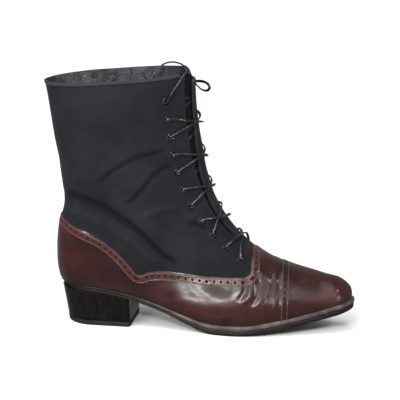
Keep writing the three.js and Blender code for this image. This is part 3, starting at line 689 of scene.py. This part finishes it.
def heel_stack(name, low, high, steps, grow, round_low, round_high, follow):
    outline = heel_outline(low, grow)
    n = len(outline)
    top = np.full(n, float(high))
    if follow:
        for _ in range(6):
            top = np.array([underside(heel_outline(t, grow)[i, 0]) - GAP for i, t in enumerate(top)])
            top = np.minimum(top, high)
    rings = []
    for share, inset in ([(0, 1.6), (0, round_low)] + [(i / steps, 0) for i in range(steps + 1)]
                         + [(1, round_high), (1, 2.0)]):
        points = []
        for i in range(n):
            z = low + (top[i] - low) * share
            flat = heel_outline(z, grow - inset)[i]
            edge = 0.0 if inset else 0.35 * (share in (0, 1))
            points.append((flat[0], flat[1], z + (edge if share == 0 else -edge)))
        rings.append(points)
    rings[2] = [(p[0], p[1], p[2] + 0.2) for p in rings[2]]
    points = np.array([p for ring in rings for p in ring])
    faces = ring_faces(len(rings), n)
    faces.append(list(range(n))[::-1])
    faces.append(list(range((len(rings) - 1) * n, len(rings) * n)))
    piece = mesh_piece(name, points, faces, None, 0.005)
    shape = bmesh.new()
    shape.from_mesh(piece.data)
    caps = [f for f in shape.faces if len(f.verts) > 4]
    bmesh.ops.triangulate(shape, faces=caps)
    shape.to_mesh(piece.data)
    shape.free()
    return piece


heel = heel_stack("heel_stacked", LIFT_THICK + GAP, SEAT_HEIGHT, 26, 0, 0.35, 0.1, True)
lift = heel_stack("heel_lift", 0, LIFT_THICK, 4, LIFT_PROUD, 0.4, 0.35, False)
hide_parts("heel_block")
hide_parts("heel_top_lift")


# Eyelets: turned rings, as dense as they look round
def eyelet_places():
    rows = np.linspace(FIRST_EYELET, LAST_EYELET, 61)
    turn = bisect(np.zeros_like(rows), np.full_like(rows, 0.8),
                  lambda t: np.abs(last_point(rows, t)[..., 1]) < EYELET_SPREAD)
    points = last_point(rows, turn)
    reach = np.concatenate([[0], np.cumsum(np.linalg.norm(np.diff(points, axis=0), axis=1))])
    row_curve = smooth_curve(reach, rows)
    row = row_curve(np.linspace(0, reach[-1], EYELETS))
    places = {}
    for side in (-1, 1):
        turn = bisect(np.zeros_like(row), np.full_like(row, 0.8),
                      lambda t: np.abs(last_point(row, side * t)[..., 1]) < EYELET_SPREAD)
        places[side] = [(float(r), float(side * t)) for r, t in zip(row, turn)]
    return places


PLACES = eyelet_places()
EYELET_STEPS, EYELET_SET = 28, 0.35
EYELET_PROFILE = [(1.62, -2.7), (2.05, -2.7), (2.05, 0.1), (3.1, 0.1), (3.32, 0.3), (3.28, 0.55), (3.0, 0.8),
                  (2.6, 0.93), (2.2, 0.9), (1.85, 0.7), (1.66, 0.35), (1.6, -0.3)]


def frame_at(row, turn):
    point = last_point(row, turn)
    out = last_normal(row, turn)
    side = np.cross([0, 0, 1.0], out)
    side = side / np.linalg.norm(side)
    return point, out, side, np.cross(out, side)


def eyelet_rings():
    points, faces, bright = [], [], []
    for side in (-1, 1):
        for row, turn in PLACES[side]:
            point, out, a, b = frame_at(row, turn)
            start = len(points)
            for radius, height in EYELET_PROFILE:
                for k in range(EYELET_STEPS):
                    angle = k / EYELET_STEPS * 2 * math.pi
                    away = a * math.cos(angle) + b * math.sin(angle)
                    points.append(point + out * (height + EYELET_SET) + away * radius)
                    bright.append(float(radius > 3.05 or (radius < 1.9 and height > 0)))
            m = len(EYELET_PROFILE)
            for r in range(m):
                low, high = start + r * EYELET_STEPS, start + (r + 1) % m * EYELET_STEPS
                for k in range(EYELET_STEPS):
                    after = (k + 1) % EYELET_STEPS
                    faces.append([low + k, low + after, high + after, high + k])
    return mesh_piece("eyelet_rings", points, faces, {"bright": bright}, 0.001)


eyelets = eyelet_rings()
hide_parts(*[f"eyelet_{s}_{i}" for s in ("lateral", "medial") for i in range(1, EYELETS + 1)])


# Laces: flat strands swept along points, with their flat side turned outwards
LACE_WIDTH, LACE_THICK, UNDER_THICK, END_THICK = 2.6, 1.3, 0.8, 1.5
LACE_LIFT, UNDER_LIFT = 1.75, WALL + 0.85


def spline(points, steps=12):
    """A smooth curve through points."""
    p = np.asarray(points, float)
    p = np.concatenate([[2 * p[0] - p[1]], p, [2 * p[-1] - p[-2]]])
    out = []
    for i in range(1, len(p) - 2):
        a, b, c, d = p[i - 1], p[i], p[i + 1], p[i + 2]
        for k in np.arange(steps) / steps:
            out.append(0.5 * (2 * b + (c - a) * k + (2 * a - 5 * b + 4 * c - d) * k ** 2
                              + (3 * b - a - 3 * c + d) * k ** 3))
    out.append(p[-2])
    return np.array(out)


LACE_SECTION = [(math.copysign(abs(math.cos(t)) ** 0.55, math.cos(t)),
                 math.copysign(abs(math.sin(t)) ** 0.75, math.sin(t)))
                for t in np.arange(14) / 14 * 2 * math.pi]


def sweep(path, outs, width, thick, points, faces, values, twist):
    """Adds a flat strand along a path to lists of points and faces."""
    way = np.gradient(path, axis=0)
    way /= np.linalg.norm(way, axis=1, keepdims=True)
    across = np.cross(way, outs)
    across /= np.linalg.norm(across, axis=1, keepdims=True)
    up = np.cross(across, way)
    n, m = len(path), len(LACE_SECTION)
    start = len(points)
    run = np.concatenate([[0], np.cumsum(np.linalg.norm(np.diff(path, axis=0), axis=1))])
    for i in range(n):
        turn = twist * math.sin(math.pi * i / (n - 1)) ** 2
        ends = min(1.0, 0.62 + 0.38 * min(run[i], run[-1] - run[i]) / 4.5)
        for cx, cy in LACE_SECTION:
            u, v = cx * width * ends / 2, cy * thick / 2
            u, v = u * math.cos(turn) - v * math.sin(turn), u * math.sin(turn) + v * math.cos(turn)
            points.append(path[i] + across[i] * u + up[i] * v)
            values["run"].append(run[i])
            values["side"].append(cx)
    faces.extend(ring_faces(n, m, start))
    faces.append([start + k for k in range(m)][::-1])
    faces.append([start + (n - 1) * m + k for k in range(m)])


def lace_piece(name, strands):
    """One mesh of flat strands, each with its points and outward ways, its thickness and its twist."""
    points, faces, values = [], [], {"run": [], "side": []}
    for (path, ways), thick, twist in strands:
        sweep(path, ways, LACE_WIDTH, thick, points, faces, values, twist)
    return mesh_piece(name, points, faces, values, 0.001)


def strand_path(a, b, lift, hump, drop, inside=False):
    """Points and outward ways of a strand between two eyelets, through their holes at both ends."""
    k = np.linspace(0, 1, 41)
    bell = np.sin(math.pi * k)
    rows = a[0] + (b[0] - a[0]) * k - drop * bell ** 1.2
    turns = a[1] + (b[1] - a[1]) * k
    sign = -1 if inside else 1
    height = sign * lift + hump * bell ** 2
    path = offset_point(rows, turns, height)
    out = last_normal(rows, turns) * sign
    heads = []
    for row, turn in (a, b):
        point, way = last_point(row, turn), last_normal(row, turn)
        heads.append([point + way * d for d in ((-0.8, -1.8, -2.5) if inside else (-1.2, 0.2, 1.1))])
    whole = np.concatenate([heads[0], path[3:-3], heads[1][::-1]])
    ways = np.concatenate([[out[3]] * 3, out[3:-3], [out[-4]] * 3])
    return spline(whole, 6), spline(ways, 6)


# Outside crossings: lower row, the falling strand's hump, drop and twist, then the rising strand's
OUTSIDE = [
    (2, 1.7, 0.62, 1.3, 0.1, 0.30, -0.8),
    (4, 1.7, 0.60, 0.5, 0.1, 0.30, 0.4),
    (6, 1.8, 0.55, -0.9, 0.1, 0.25, 0.3),
    (8, 1.9, 0.75, 0.8, 0.1, 0.10, -0.5),
    (10, 1.7, 0.20, 0.9, 0.1, 0.15, 0.6),
]
for number, (k, hump, drop, twist, hump_low, drop_low, twist_low) in enumerate(OUTSIDE):
    falling = strand_path(PLACES[-1][k - 1], PLACES[1][k], LACE_LIFT, hump, drop)
    rising = strand_path(PLACES[-1][k], PLACES[1][k - 1], LACE_LIFT, hump_low, drop_low)
    crossing = lace_piece(f"lace_over_{number + 1}",
                          [(falling, LACE_THICK, twist), (rising, LACE_THICK, twist_low)])
    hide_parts(f"lace_crossing_{number + 1}")

# Strands behind the facings: places of both ends, and how far each bends from the other at the middle
BEHIND = [row for k in (1, 3, 5, 7, 9) for row in ((k - 1, k, -0.25), (k, k - 1, 0.25))]
BEHIND.append((EYELETS - 1, EYELETS - 1, 0))
lace_under = lace_piece("lace_under", [
    (strand_path(PLACES[-1][a], PLACES[1][b], UNDER_LIFT, hump, 0.0, True), UNDER_THICK, 0.0)
    for a, b, hump in BEHIND])

# Loose ends: places and heights as the solids have them; the leg's middle lies at this place on X
LEG_MIDDLE = 52.0
LOOSE_ENDS = {
    "lateral": [(0.385, -0.87, 1.090), (0.397, -0.83, 1.127), (0.411, -0.75, 1.169), (0.422, -0.64, 1.204),
                (0.427, -0.48, 1.222), (0.423, -0.33, 1.221), (0.409, -0.21, 1.198), (0.395, -0.14, 1.160),
                (0.384, -0.12, 1.115), (0.376, -0.12, 1.037), (0.371, -0.15, 0.954)],
    "medial": [(0.391, 0.88, 1.083), (0.410, 0.85, 1.105), (0.434, 0.77, 1.130), (0.458, 0.64, 1.149),
               (0.480, 0.50, 1.155), (0.489, 0.44, 1.139), (0.478, 0.52, 1.116), (0.455, 0.68, 1.107),
               (0.429, 0.83, 1.124), (0.410, 0.92, 1.153), (0.393, 0.93, 1.178), (0.376, 0.83, 1.187),
               (0.354, 0.64, 1.186), (0.331, 0.41, 1.168), (0.311, 0.17, 1.125), (0.298, 0.03, 1.077),
               (0.290, -0.07, 1.001), (0.286, -0.13, 0.916)],
}
for word, side in (("lateral", -1), ("medial", 1)):
    row, turn = PLACES[side][0]
    out = last_normal(row, turn)
    start = last_point(row, turn) + out * 2.3
    body = [(place_along(a), SHAFT_WIDTH / 2 * s, feather(place_along(a)) + SHAFT_HEIGHT * u)
            for a, s, u in LOOSE_ENDS[word]]
    path = spline([start] + body, 10)
    away = path - np.array([LEG_MIDDLE, 0.0, 0.0])
    ways = np.stack([away[:, 0] * 0.6, away[:, 1], 0 * away[:, 2]], axis=1)
    ways += np.array([0.0, 0.0, 12.0]) * smoothstep(path[:, 2], 232, 242)[:, None]
    end = lace_piece(f"lace_loose_{word}", [((path, ways), END_THICK, 0.9 * side)])
    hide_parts(f"lace_end_{word}")


# Shader maths: a socket wrapper with operators, and one maker for all other nodes
class Value:
    def __init__(self, tree, socket):
        self.tree = tree
        self.socket = socket

    def math(self, kind, other=None):
        node = self.tree.nodes.new("ShaderNodeMath")
        node.operation = kind
        self.tree.links.new(self.socket, node.inputs[0])
        if isinstance(other, Value):
            self.tree.links.new(other.socket, node.inputs[1])
        elif other is not None:
            node.inputs[1].default_value = other
        return Value(self.tree, node.outputs[0])

    def __add__(self, other):
        return self.math("ADD", other)

    def __radd__(self, other):
        return self.math("ADD", other)

    def __sub__(self, other):
        return self.math("SUBTRACT", other)

    def __rsub__(self, other):
        return (self * -1) + other

    def __mul__(self, other):
        return self.math("MULTIPLY", other)

    def __rmul__(self, other):
        return self.math("MULTIPLY", other)

    def __truediv__(self, other):
        return self.math("DIVIDE", other)

    def __neg__(self):
        return self * -1

    def __pow__(self, other):
        return self.math("POWER", other)

    def size(self):
        return self.math("ABSOLUTE")

    def smallest(self, other):
        return self.math("MINIMUM", other)

    def largest(self, other):
        return self.math("MAXIMUM", other)

    def step(self, low, high):
        """0 below low and 1 above high, with a smooth way between them."""
        node = self.tree.nodes.new("ShaderNodeMapRange")
        node.interpolation_type = "SMOOTHSTEP"
        self.tree.links.new(self.socket, node.inputs[0])
        turned = low > high
        node.inputs[1].default_value = min(low, high)
        node.inputs[2].default_value = max(low, high)
        node.inputs[3].default_value = 1.0 if turned else 0.0
        node.inputs[4].default_value = 0.0 if turned else 1.0
        return Value(self.tree, node.outputs[0])


class Finish:
    """A material with its object coordinates in millimetres and helpers for its nodes."""

    def __init__(self, name):
        self.material = bpy.data.materials.new(name)
        self.material.use_nodes = True
        self.tree = self.material.node_tree
        self.tree.nodes.clear()
        self.output = self.tree.nodes.new("ShaderNodeOutputMaterial")
        coordinates = self.tree.nodes.new("ShaderNodeTexCoord")
        scale = self.tree.nodes.new("ShaderNodeVectorMath")
        scale.operation = "SCALE"
        scale.inputs[3].default_value = 1000.0
        self.tree.links.new(coordinates.outputs["Object"], scale.inputs[0])
        self.place = scale.outputs[0]
        split = self.tree.nodes.new("ShaderNodeSeparateXYZ")
        self.tree.links.new(self.place, split.inputs[0])
        self.x, self.y, self.z = (Value(self.tree, split.outputs[i]) for i in range(3))

    def node(self, kind, **inputs):
        node = self.tree.nodes.new(kind)
        for key, value in inputs.items():
            self.set(node, key.replace("_", " "), value)
        return node

    def set(self, node, key, value):
        socket = node.inputs[key]
        if isinstance(value, Value):
            self.tree.links.new(value.socket, socket)
        elif isinstance(value, bpy.types.NodeSocket):
            self.tree.links.new(value, socket)
        else:
            socket.default_value = value

    def attribute(self, name):
        node = self.tree.nodes.new("ShaderNodeAttribute")
        node.attribute_name = name
        return Value(self.tree, node.outputs["Fac"])

    def stretched(self, x=1.0, y=1.0, z=1.0):
        node = self.tree.nodes.new("ShaderNodeMapping")
        self.tree.links.new(self.place, node.inputs[0])
        node.inputs["Scale"].default_value = (x, y, z)
        return node.outputs[0]

    def noise(self, scale, detail=3.0, rough=0.5, place=None, distort=0.0):
        node = self.tree.nodes.new("ShaderNodeTexNoise")
        self.tree.links.new(place or self.place, node.inputs["Vector"])
        node.inputs["Scale"].default_value = scale
        node.inputs["Detail"].default_value = detail
        node.inputs["Roughness"].default_value = rough
        node.inputs["Distortion"].default_value = distort
        return Value(self.tree, node.outputs["Fac"])

    def cells(self, scale):
        node = self.tree.nodes.new("ShaderNodeTexVoronoi")
        self.tree.links.new(self.place, node.inputs["Vector"])
        node.inputs["Scale"].default_value = scale
        return Value(self.tree, node.outputs["Distance"])

    def vector(self, x, y, z):
        node = self.tree.nodes.new("ShaderNodeCombineXYZ")
        for i, value in enumerate((x, y, z)):
            self.set(node, i, value)
        return node.outputs[0]

    def blend(self, share, low, high):
        node = self.tree.nodes.new("ShaderNodeMix")
        node.data_type = "RGBA"
        self.set(node, 0, share)
        for place, value in ((6, low), (7, high)):
            if isinstance(value, bpy.types.NodeSocket):
                self.tree.links.new(value, node.inputs[place])
            else:
                node.inputs[place].default_value = tuple(value) + (1.0,) if len(value) == 3 else value
        return node.outputs[2]

    def bump(self, height, distance, strength=1.0, before=None):
        node = self.tree.nodes.new("ShaderNodeBump")
        node.inputs["Strength"].default_value = strength
        node.inputs["Distance"].default_value = distance * MM
        self.set(node, "Height", height)
        if before is not None:
            self.tree.links.new(before, node.inputs["Normal"])
        return node.outputs[0]

    def surface(self, **inputs):
        node = self.tree.nodes.new("ShaderNodeBsdfPrincipled")
        for key, value in inputs.items():
            self.set(node, key.replace("_", " "), value)
        return node.outputs[0]

    def close(self, surface):
        self.tree.links.new(surface, self.output.inputs["Surface"])
        return self.material


def colour(red, green, blue):
    """A colour given as it is seen, 0 to 255."""
    return tuple((c / 255 / 12.92) if c / 255 <= 0.04045 else ((c / 255 + 0.055) / 1.055) ** 2.4
                 for c in (red, green, blue))


def stitches(along_run, away, line, length=2.1, wide=0.42):
    """1 on the threads of a stitch row that lies at a distance from an edge."""
    thread = (along_run / length).math("FRACT") - 0.5
    return thread.size().step(0.40, 0.33) * (away - line).size().step(wide, wide * 0.55)


def punched(along_run, away, line, pitch, radius):
    """1 inside a row of round holes that lies at a distance from an edge."""
    across = ((along_run / pitch).math("FRACT") - 0.5) * pitch
    return (across * across + (away - line) ** 2.0).math("SQRT").step(radius, radius * 0.8)


# Rows of holes and stitches, by their distance from the leather's edge and from the cap's seam; the run
# round the foot is counted from a start far enough back to stay above 0
HOLE_ROW, HOLE_PITCH, EDGE_STITCH, BAND_STITCH = 4.4, 6.6, 1.5, 7.4
CAP_STITCHES, CAP_HOLE_ROW, CAP_HOLE_PITCH, RING_START = (1.3, 6.4), 3.8, 5.4, 400


def make_upper():
    f = Finish("upper_leather_and_cloth")
    edge, run, cap = f.attribute("edge"), f.attribute("run"), f.attribute("cap")
    ring, height, slit, crease = (f.attribute(n) for n in ("ring", "height", "slit", "crease"))
    brown = edge.step(0.25, -0.25)
    inside = -edge

    # leather: mottled brown, darker at seams and sole, with a painted highlight along the vamp and painted
    # shade in the creases, worn lighter on the toe and ridges
    cloud = f.noise(0.030, 2, 0.5, distort=0.3)
    streak = f.noise(0.08, 3, 0.55, f.stretched(0.35, 1.0, 1.3), 0.8)
    fine = f.noise(0.9, 3, 0.6)
    base = f.blend(cloud.step(0.34, 0.66), colour(31, 11, 11), colour(46, 17, 15))
    base = f.blend(streak.step(0.50, 0.80) * 0.22, base, colour(72, 30, 24))
    base = f.blend(streak.step(0.46, 0.22) * 0.30, base, colour(24, 8, 8))
    # painted highlight: a lighter band along the vamp at mid height
    painted_highlight_band = (f.z - 26.0).size().step(22.0, 2.0) * f.x.step(40.0, 90.0)
    base = f.blend(painted_highlight_band * 0.14, base, colour(80, 35, 28))
    seam_dark = inside.step(2.2, 0.0) * 0.75
    sole_dark = height.step(9.0, 0.5) * 0.65
    dark = seam_dark.largest(sole_dark).largest(cap.size().step(1.6, 0.2) * 0.6)
    # painted shade: the leather darkens in the creases' troughs, on top of the darker seams and sole
    dark = dark.largest(crease.step(-0.2, -0.8) * 0.5)
    base = f.blend(dark, base, colour(24, 10, 10))
    worn = crease.step(0.2, 0.8) * 0.10 + fine.step(0.62, 0.72) * streak.step(0.5, 0.7) * 0.25
    across, up = (f.x - 185) / 7.5, (f.z - 40) / 7.0
    scuffs = (across * across + up * up).math("SQRT").step(1.1, 0.3) * f.noise(
        0.30, 5, 0.7, f.stretched(0.6, 1.0, 1.4), 0.6).step(0.52, 0.70) * f.y.step(0.0, -4.0)
    base = f.blend((worn + scuffs * 0.28).smallest(0.8), base, colour(128, 92, 86))
    around = ring + RING_START
    holes = punched(run, inside, HOLE_ROW, HOLE_PITCH, 1.45) * edge.step(0.4, -0.4)
    between = run + HOLE_PITCH / 2
    small = punched(between, inside, HOLE_ROW - 1.2, HOLE_PITCH, 0.5).largest(
        punched(between, inside, HOLE_ROW + 1.2, HOLE_PITCH, 0.5))
    cap_holes = punched(around, cap, CAP_HOLE_ROW, CAP_HOLE_PITCH, 1.1)
    holes = holes.largest(small).largest(cap_holes)
    threads = stitches(run, inside, EDGE_STITCH).largest(stitches(run, inside, BAND_STITCH))
    for line in CAP_STITCHES:
        threads = threads.largest(stitches(around, cap, line))
    threads = threads * brown
    band = inside.step(0.4, 1.6) * inside.step(8.2, 7.4)
    base = f.blend(band * 0.30, base, colour(98, 62, 58))
    base = f.blend(threads * 0.55, base, colour(112, 74, 68))
    base = f.blend(holes, base, colour(10, 6, 6))
    # the vamp's sides lean in a little as they rise
    lean = f.z.step(22.0, 66.0) * f.x.step(40.0, 90.0)
    relief = f.bump(lean, -12.0)
    relief = f.bump(f.noise(0.07, 2, 0.5), 0.9, 0.30, relief)
    relief = f.bump(f.cells(0.95), 0.06, 0.25, relief)
    relief = f.bump(f.noise(2.2, 3, 0.6), 0.05, 0.15, relief)
    wrinkles = f.noise(0.22, 4, 0.6, f.stretched(2.0, 0.45, 0.6), 0.6)
    wrinkles = wrinkles * cap.step(0.0, -6.0) * cap.step(-26.0, -8.0)
    relief = f.bump(wrinkles, 0.9, 0.55, relief)
    groove = (inside - BAND_STITCH).size().step(0.9, 0.1)
    groove = groove.largest((inside - EDGE_STITCH).size().step(0.7, 0.1))
    for line in CAP_STITCHES:
        groove = groove.largest((cap - line).size().step(0.7, 0.1))
    relief = f.bump((threads * 0.7 - groove * 0.6) * brown, 0.35, 0.8, relief)
    relief = f.bump(-holes, 0.8, 1.0, relief)
    gloss = cloud.step(0.3, 0.7) * 0.08 + streak.step(0.4, 0.7) * 0.06 + 0.19
    gloss = gloss + worn * 0.25 + scuffs * 0.4 + dark * 0.12 + holes * 0.6
    leather = f.surface(Base_Color=base, Roughness=gloss.smallest(0.9), Normal=relief,
                        Coat_Weight=(1 - holes) * 0.3, Coat_Roughness=0.10, Specular_IOR_Level=0.34)

    # cloth: close weave, a little bluish, with painted shade in its creases and a painted highlight along the
    # facing's edge, rubbed lighter on its ridges
    weave = ((f.z + f.x * 0.25) * 9.0).math("SINE") * ((f.x + f.y * 0.9) * 9.0).math("SINE") * 0.5 + 0.5
    fuzz = f.noise(1.4, 4, 0.7)
    broad = f.noise(0.022, 3, 0.5)
    cloth_base = f.blend(broad.step(0.3, 0.7), colour(19, 19, 22), colour(28, 29, 33))
    cloth_base = f.blend(fuzz.step(0.55, 0.8) * 0.3, cloth_base, colour(46, 47, 53))
    # painted shade: the cloth darkens in the creases' troughs
    cloth_base = f.blend(crease.step(-0.3, -2.4) * 0.65, cloth_base, colour(6, 6, 8))
    cloth_base = f.blend(crease.step(0.3, 1.2) * 0.08, cloth_base, colour(60, 62, 68))
    # painted highlight along the facing's turned edge
    cloth_base = f.blend(slit.step(1.4, 0.3) * 0.30, cloth_base, colour(50, 51, 56))
    rim = f.attribute("rim")
    cloth_base = f.blend(rim.step(2.8, 2.2) * 0.45, cloth_base, colour(62, 64, 70))
    cloth_base = f.blend(stitches(around, rim, RIM_STITCH, 2.6, 0.4) * 0.7, cloth_base, colour(10, 10, 12))
    dust = f.cells(0.16).step(0.05, 0.03) * 0.35
    cloth_base = f.blend(dust, cloth_base, colour(96, 97, 100))
    facing_stitch = stitches(f.z, slit, FACING_STITCH, 2.3, 0.35)
    cloth_base = f.blend(facing_stitch * 0.6, cloth_base, colour(16, 16, 18))
    cloth_relief = f.bump(f.noise(0.10, 4, 0.6, f.stretched(0.6, 1.0, 1.3), 0.5), 1.2, 0.35)
    cloth_relief = f.bump(weave, 0.10, 0.5, cloth_relief)
    cloth_relief = f.bump(fuzz, 0.12, 0.4, cloth_relief)
    cloth = f.surface(Base_Color=cloth_base, Roughness=0.85, Normal=cloth_relief, Sheen_Weight=0.04,
                      Sheen_Roughness=0.4, Specular_IOR_Level=0.14)
    mix = f.node("ShaderNodeMixShader")
    f.set(mix, 0, brown)
    f.tree.links.new(cloth, mix.inputs[1])
    f.tree.links.new(leather, mix.inputs[2])
    return f.close(mix.outputs[0])


def make_lining():
    f = Finish("lining_dark")
    crinkle = f.noise(0.11, 5, 0.65, f.stretched(1.0, 1.0, 0.5), 1.0)
    # partly painted sheen: the lining's tone follows its crinkles, lighter where they rise
    tone = f.blend(crinkle.step(0.35, 0.7), colour(26, 26, 30), colour(64, 64, 69))
    relief = f.bump(crinkle, 2.4, 0.8)
    relief = f.bump(f.noise(1.6, 3, 0.6), 0.1, 0.3, relief)
    return f.close(f.surface(Base_Color=tone, Roughness=0.42, Normal=relief, Coat_Weight=0.25))


def make_tongue():
    f = Finish("tongue_cloth_dark")
    fuzz = f.noise(1.2, 4, 0.7)
    # partly painted shade: the tongue is darker than the shaft's cloth, standing in for the shade in the
    # throat's gap
    tone = f.blend(fuzz.step(0.4, 0.8), colour(10, 10, 12), colour(20, 20, 24))
    relief = f.bump(f.noise(0.15, 4, 0.6), 1.0, 0.6)
    relief = f.bump(((f.z * 8.0).math("SINE") * (f.y * 8.0).math("SINE")), 0.08, 0.5, relief)
    return f.close(f.surface(Base_Color=tone, Roughness=0.9, Normal=relief, Specular_IOR_Level=0.15))


def make_edge(name, dark, light, dirt, rough, lines, black_heel):
    """Sole edge: burnished leather with fine layers along it, black at the heel."""
    f = Finish(name)
    layers = f.noise(0.5, 4, 0.6, f.stretched(0.05, 0.05, 1.0))
    cloud = f.noise(0.06, 4, 0.6)
    tone = f.blend(cloud.step(0.35, 0.68), colour(*dark), colour(*light))
    tone = f.blend(layers.step(0.5, 0.66) * lines, tone, colour(*dirt))
    marks = f.noise(0.35, 5, 0.7, f.stretched(0.6, 0.6, 2.0), 1.0).step(0.60, 0.70) * 0.5
    tone = f.blend(marks * 0.6, tone, colour(120, 108, 100))
    if black_heel:
        tone = f.blend(f.x.step(58.0, 30.0) * 0.9, tone, colour(24, 19, 18))
    relief = f.bump(layers, 0.3, 0.5)
    relief = f.bump(f.noise(1.1, 3, 0.6), 0.15, 0.4, relief)
    return f.close(f.surface(Base_Color=tone, Roughness=rough, Normal=relief, Specular_IOR_Level=0.2))


def make_heel():
    f = Finish("heel_black_edge")
    layer = ((f.z / 4.6).math("FRACT") - 0.5).size().step(0.47, 0.5)
    streak = f.noise(0.22, 5, 0.65, f.stretched(1.0, 1.0, 0.25), 0.6)
    tone = f.blend(streak.step(0.4, 0.7), colour(10, 8, 8), colour(20, 16, 16))
    tone = f.blend(layer * 0.5, tone, colour(12, 10, 10))
    rubbed = f.noise(0.5, 5, 0.7, f.stretched(1.0, 1.0, 0.4), 1.0).step(0.62, 0.74) * 0.6
    tone = f.blend(rubbed * 0.6, tone, colour(80, 70, 66))
    relief = f.bump(layer, -0.25, 0.6)
    relief = f.bump(streak, 0.4, 0.4, relief)
    return f.close(f.surface(Base_Color=tone, Roughness=streak.step(0.3, 0.8) * 0.2 + 0.25, Normal=relief,
                             Coat_Weight=0.06, Coat_Roughness=0.2, Specular_IOR_Level=0.14))


def make_metal():
    f = Finish("eyelet_black_metal")
    wear = f.attribute("bright").step(0.35, 0.9) * f.noise(0.5, 3, 0.6).step(0.40, 0.56)
    tone = f.blend(wear, colour(20, 20, 22), colour(230, 230, 234))
    return f.close(f.surface(Base_Color=tone, Roughness=0.2, Metallic=0.9,
                             Normal=f.bump(f.noise(1.5, 3, 0.5), 0.08, 0.3)))


def make_lace():
    f = Finish("lace_dark_leather")
    run, side = f.attribute("run"), f.attribute("side")
    streak = f.noise(0.7, 4, 0.6)
    tone = f.blend(streak.step(0.35, 0.7), colour(5, 5, 6), colour(15, 15, 17))
    # painted highlight along the lace's side edges
    tone = f.blend(side.size().step(0.80, 0.99) * streak.step(0.45, 0.6) * 0.4, tone, colour(96, 99, 110))
    creased = f.noise(0.35, 2, 0.5, f.vector(run, side * 0.8, f.z * 0.05))
    relief = f.bump(streak, 0.08, 0.4)
    relief = f.bump(creased, 0.5, 0.6, relief)
    return f.close(f.surface(Base_Color=tone, Roughness=streak * 0.15 + 0.20, Normal=relief,
                             Specular_IOR_Level=0.75))


def dress(piece, material):
    piece.data.materials.clear()
    piece.data.materials.append(material)
    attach(piece, "root")


lace_finish = make_lace()
dress(upper, make_upper())
dress(lining, make_lining())
dress(tongue, make_tongue())
dress(outsole, make_edge("outsole_edge", (20, 16, 15), (34, 29, 27), (13, 11, 10), 0.5, 0.6, True))
dress(welt, make_edge("welt_edge", (56, 48, 46), (92, 83, 80), (34, 29, 28), 0.5, 0.5, True))
dress(lift, make_edge("lift_rubber_edge", (24, 22, 21), (40, 36, 34), (17, 15, 15), 0.7, 0.3, False))
dress(heel, make_heel())
dress(eyelets, make_metal())
for piece in [o for o in bpy.data.objects if o.name.startswith("lace_") and o.name not in frame["nodes"]]:
    dress(piece, lace_finish)

insole_finish = Finish("insole_dark_board")
insole_tone = insole_finish.blend(insole_finish.noise(0.05, 4, 0.6), colour(36, 33, 32), colour(58, 53, 50))
insole_node = frame["nodes"]["insole"]
for place in range(len(insole_node.material_slots)):
    insole_node.material_slots[place].material = insole_finish.close(insole_finish.surface(
        Base_Color=insole_tone, Roughness=0.75,
        Normal=insole_finish.bump(insole_finish.noise(0.8, 4, 0.6), 0.2, 0.4)))

# Floor, backdrop and soft light
world = bpy.data.worlds.new("studio")
bpy.context.scene.world = world
world.use_nodes = True
world.node_tree.nodes["Background"].inputs[0].default_value = (1, 1, 1, 1)
world.node_tree.nodes["Background"].inputs[1].default_value = 0.28

floor_mesh = bpy.data.meshes.new("floor")
FLOOR_REACH = 40.0
corners = ((-1, -1), (1, -1), (1, 1), (-1, 1))
floor_mesh.from_pydata([(a * FLOOR_REACH, b * FLOOR_REACH, 0) for a, b in corners], [], [(0, 1, 2, 3)])
floor = bpy.data.objects.new("floor", floor_mesh)
bpy.context.scene.collection.objects.link(floor)
floor_finish = Finish("floor_pale")
floor.data.materials.append(floor_finish.close(floor_finish.surface(Base_Color=(0.95, 0.95, 0.95, 1),
                                                                    Roughness=0.9)))
floor.visible_glossy = False


def area_light(name, place, target, size, power):
    data = bpy.data.lights.new(name, "AREA")
    data.shape = "RECTANGLE"
    data.size, data.size_y = size
    data.energy = power
    lamp = bpy.data.objects.new(name, data)
    lamp.location = place
    lamp.rotation_euler = (Vector(target) - Vector(place)).to_track_quat("-Z", "Y").to_euler()
    bpy.context.scene.collection.objects.link(lamp)


sun_data = bpy.data.lights.new("overhead_light", "SUN")
sun_data.energy = 2.8
sun_data.angle = math.radians(70)
sun = bpy.data.objects.new("overhead_light", sun_data)
sun.rotation_euler = (math.radians(28), math.radians(-14), 0)
bpy.context.scene.collection.objects.link(sun)
# one from the front, one from the toe, and one low from the heel's side for the sheen along the vamp
area_light("front_light", (0.15, -1.3, 0.75), (0.1, 0, 0.06), (0.40, 0.18), 10)
area_light("toe_light", (1.1, -0.7, 0.9), (0.17, 0, 0.05), (0.30, 0.30), 4.5)
area_light("heel_light", (-0.40, -1.25, 0.58), (0.08, 0, 0.05), (0.50, 0.13), 8)

# Camera at the photograph's angle, held a little askew as the photograph was
AZIMUTH, ELEVATION, ROLL, DISTANCE = math.radians(8.93), math.radians(14.715), math.radians(0.573), 2.6
MM_PER_PIXEL, CENTRE_RIGHT, CENTRE_UP = 0.945, 92.07, 111.03
forward = Vector((-math.sin(AZIMUTH) * math.cos(ELEVATION), math.cos(AZIMUTH) * math.cos(ELEVATION),
                  -math.sin(ELEVATION)))
camera_data = bpy.data.cameras.new("camera")
camera = bpy.data.objects.new("camera", camera_data)
level_right = Vector((math.cos(AZIMUTH), math.sin(AZIMUTH), 0))
level_up = level_right.cross(forward)
rightward = level_right * math.cos(ROLL) + level_up * math.sin(ROLL)
upward = level_up * math.cos(ROLL) - level_right * math.sin(ROLL)
camera.location = (rightward * CENTRE_RIGHT + upward * CENTRE_UP) * MM - forward * DISTANCE
camera.rotation_euler = Matrix((rightward, upward, -forward)).transposed().to_euler()
camera_data.sensor_width = 36.0
camera_data.lens = 36.0 * DISTANCE / (400 * MM_PER_PIXEL * MM)
camera_data.clip_end = 50
bpy.context.scene.collection.objects.link(camera)
bpy.context.scene.camera = camera
bpy.context.scene.view_settings.view_transform = "Standard"
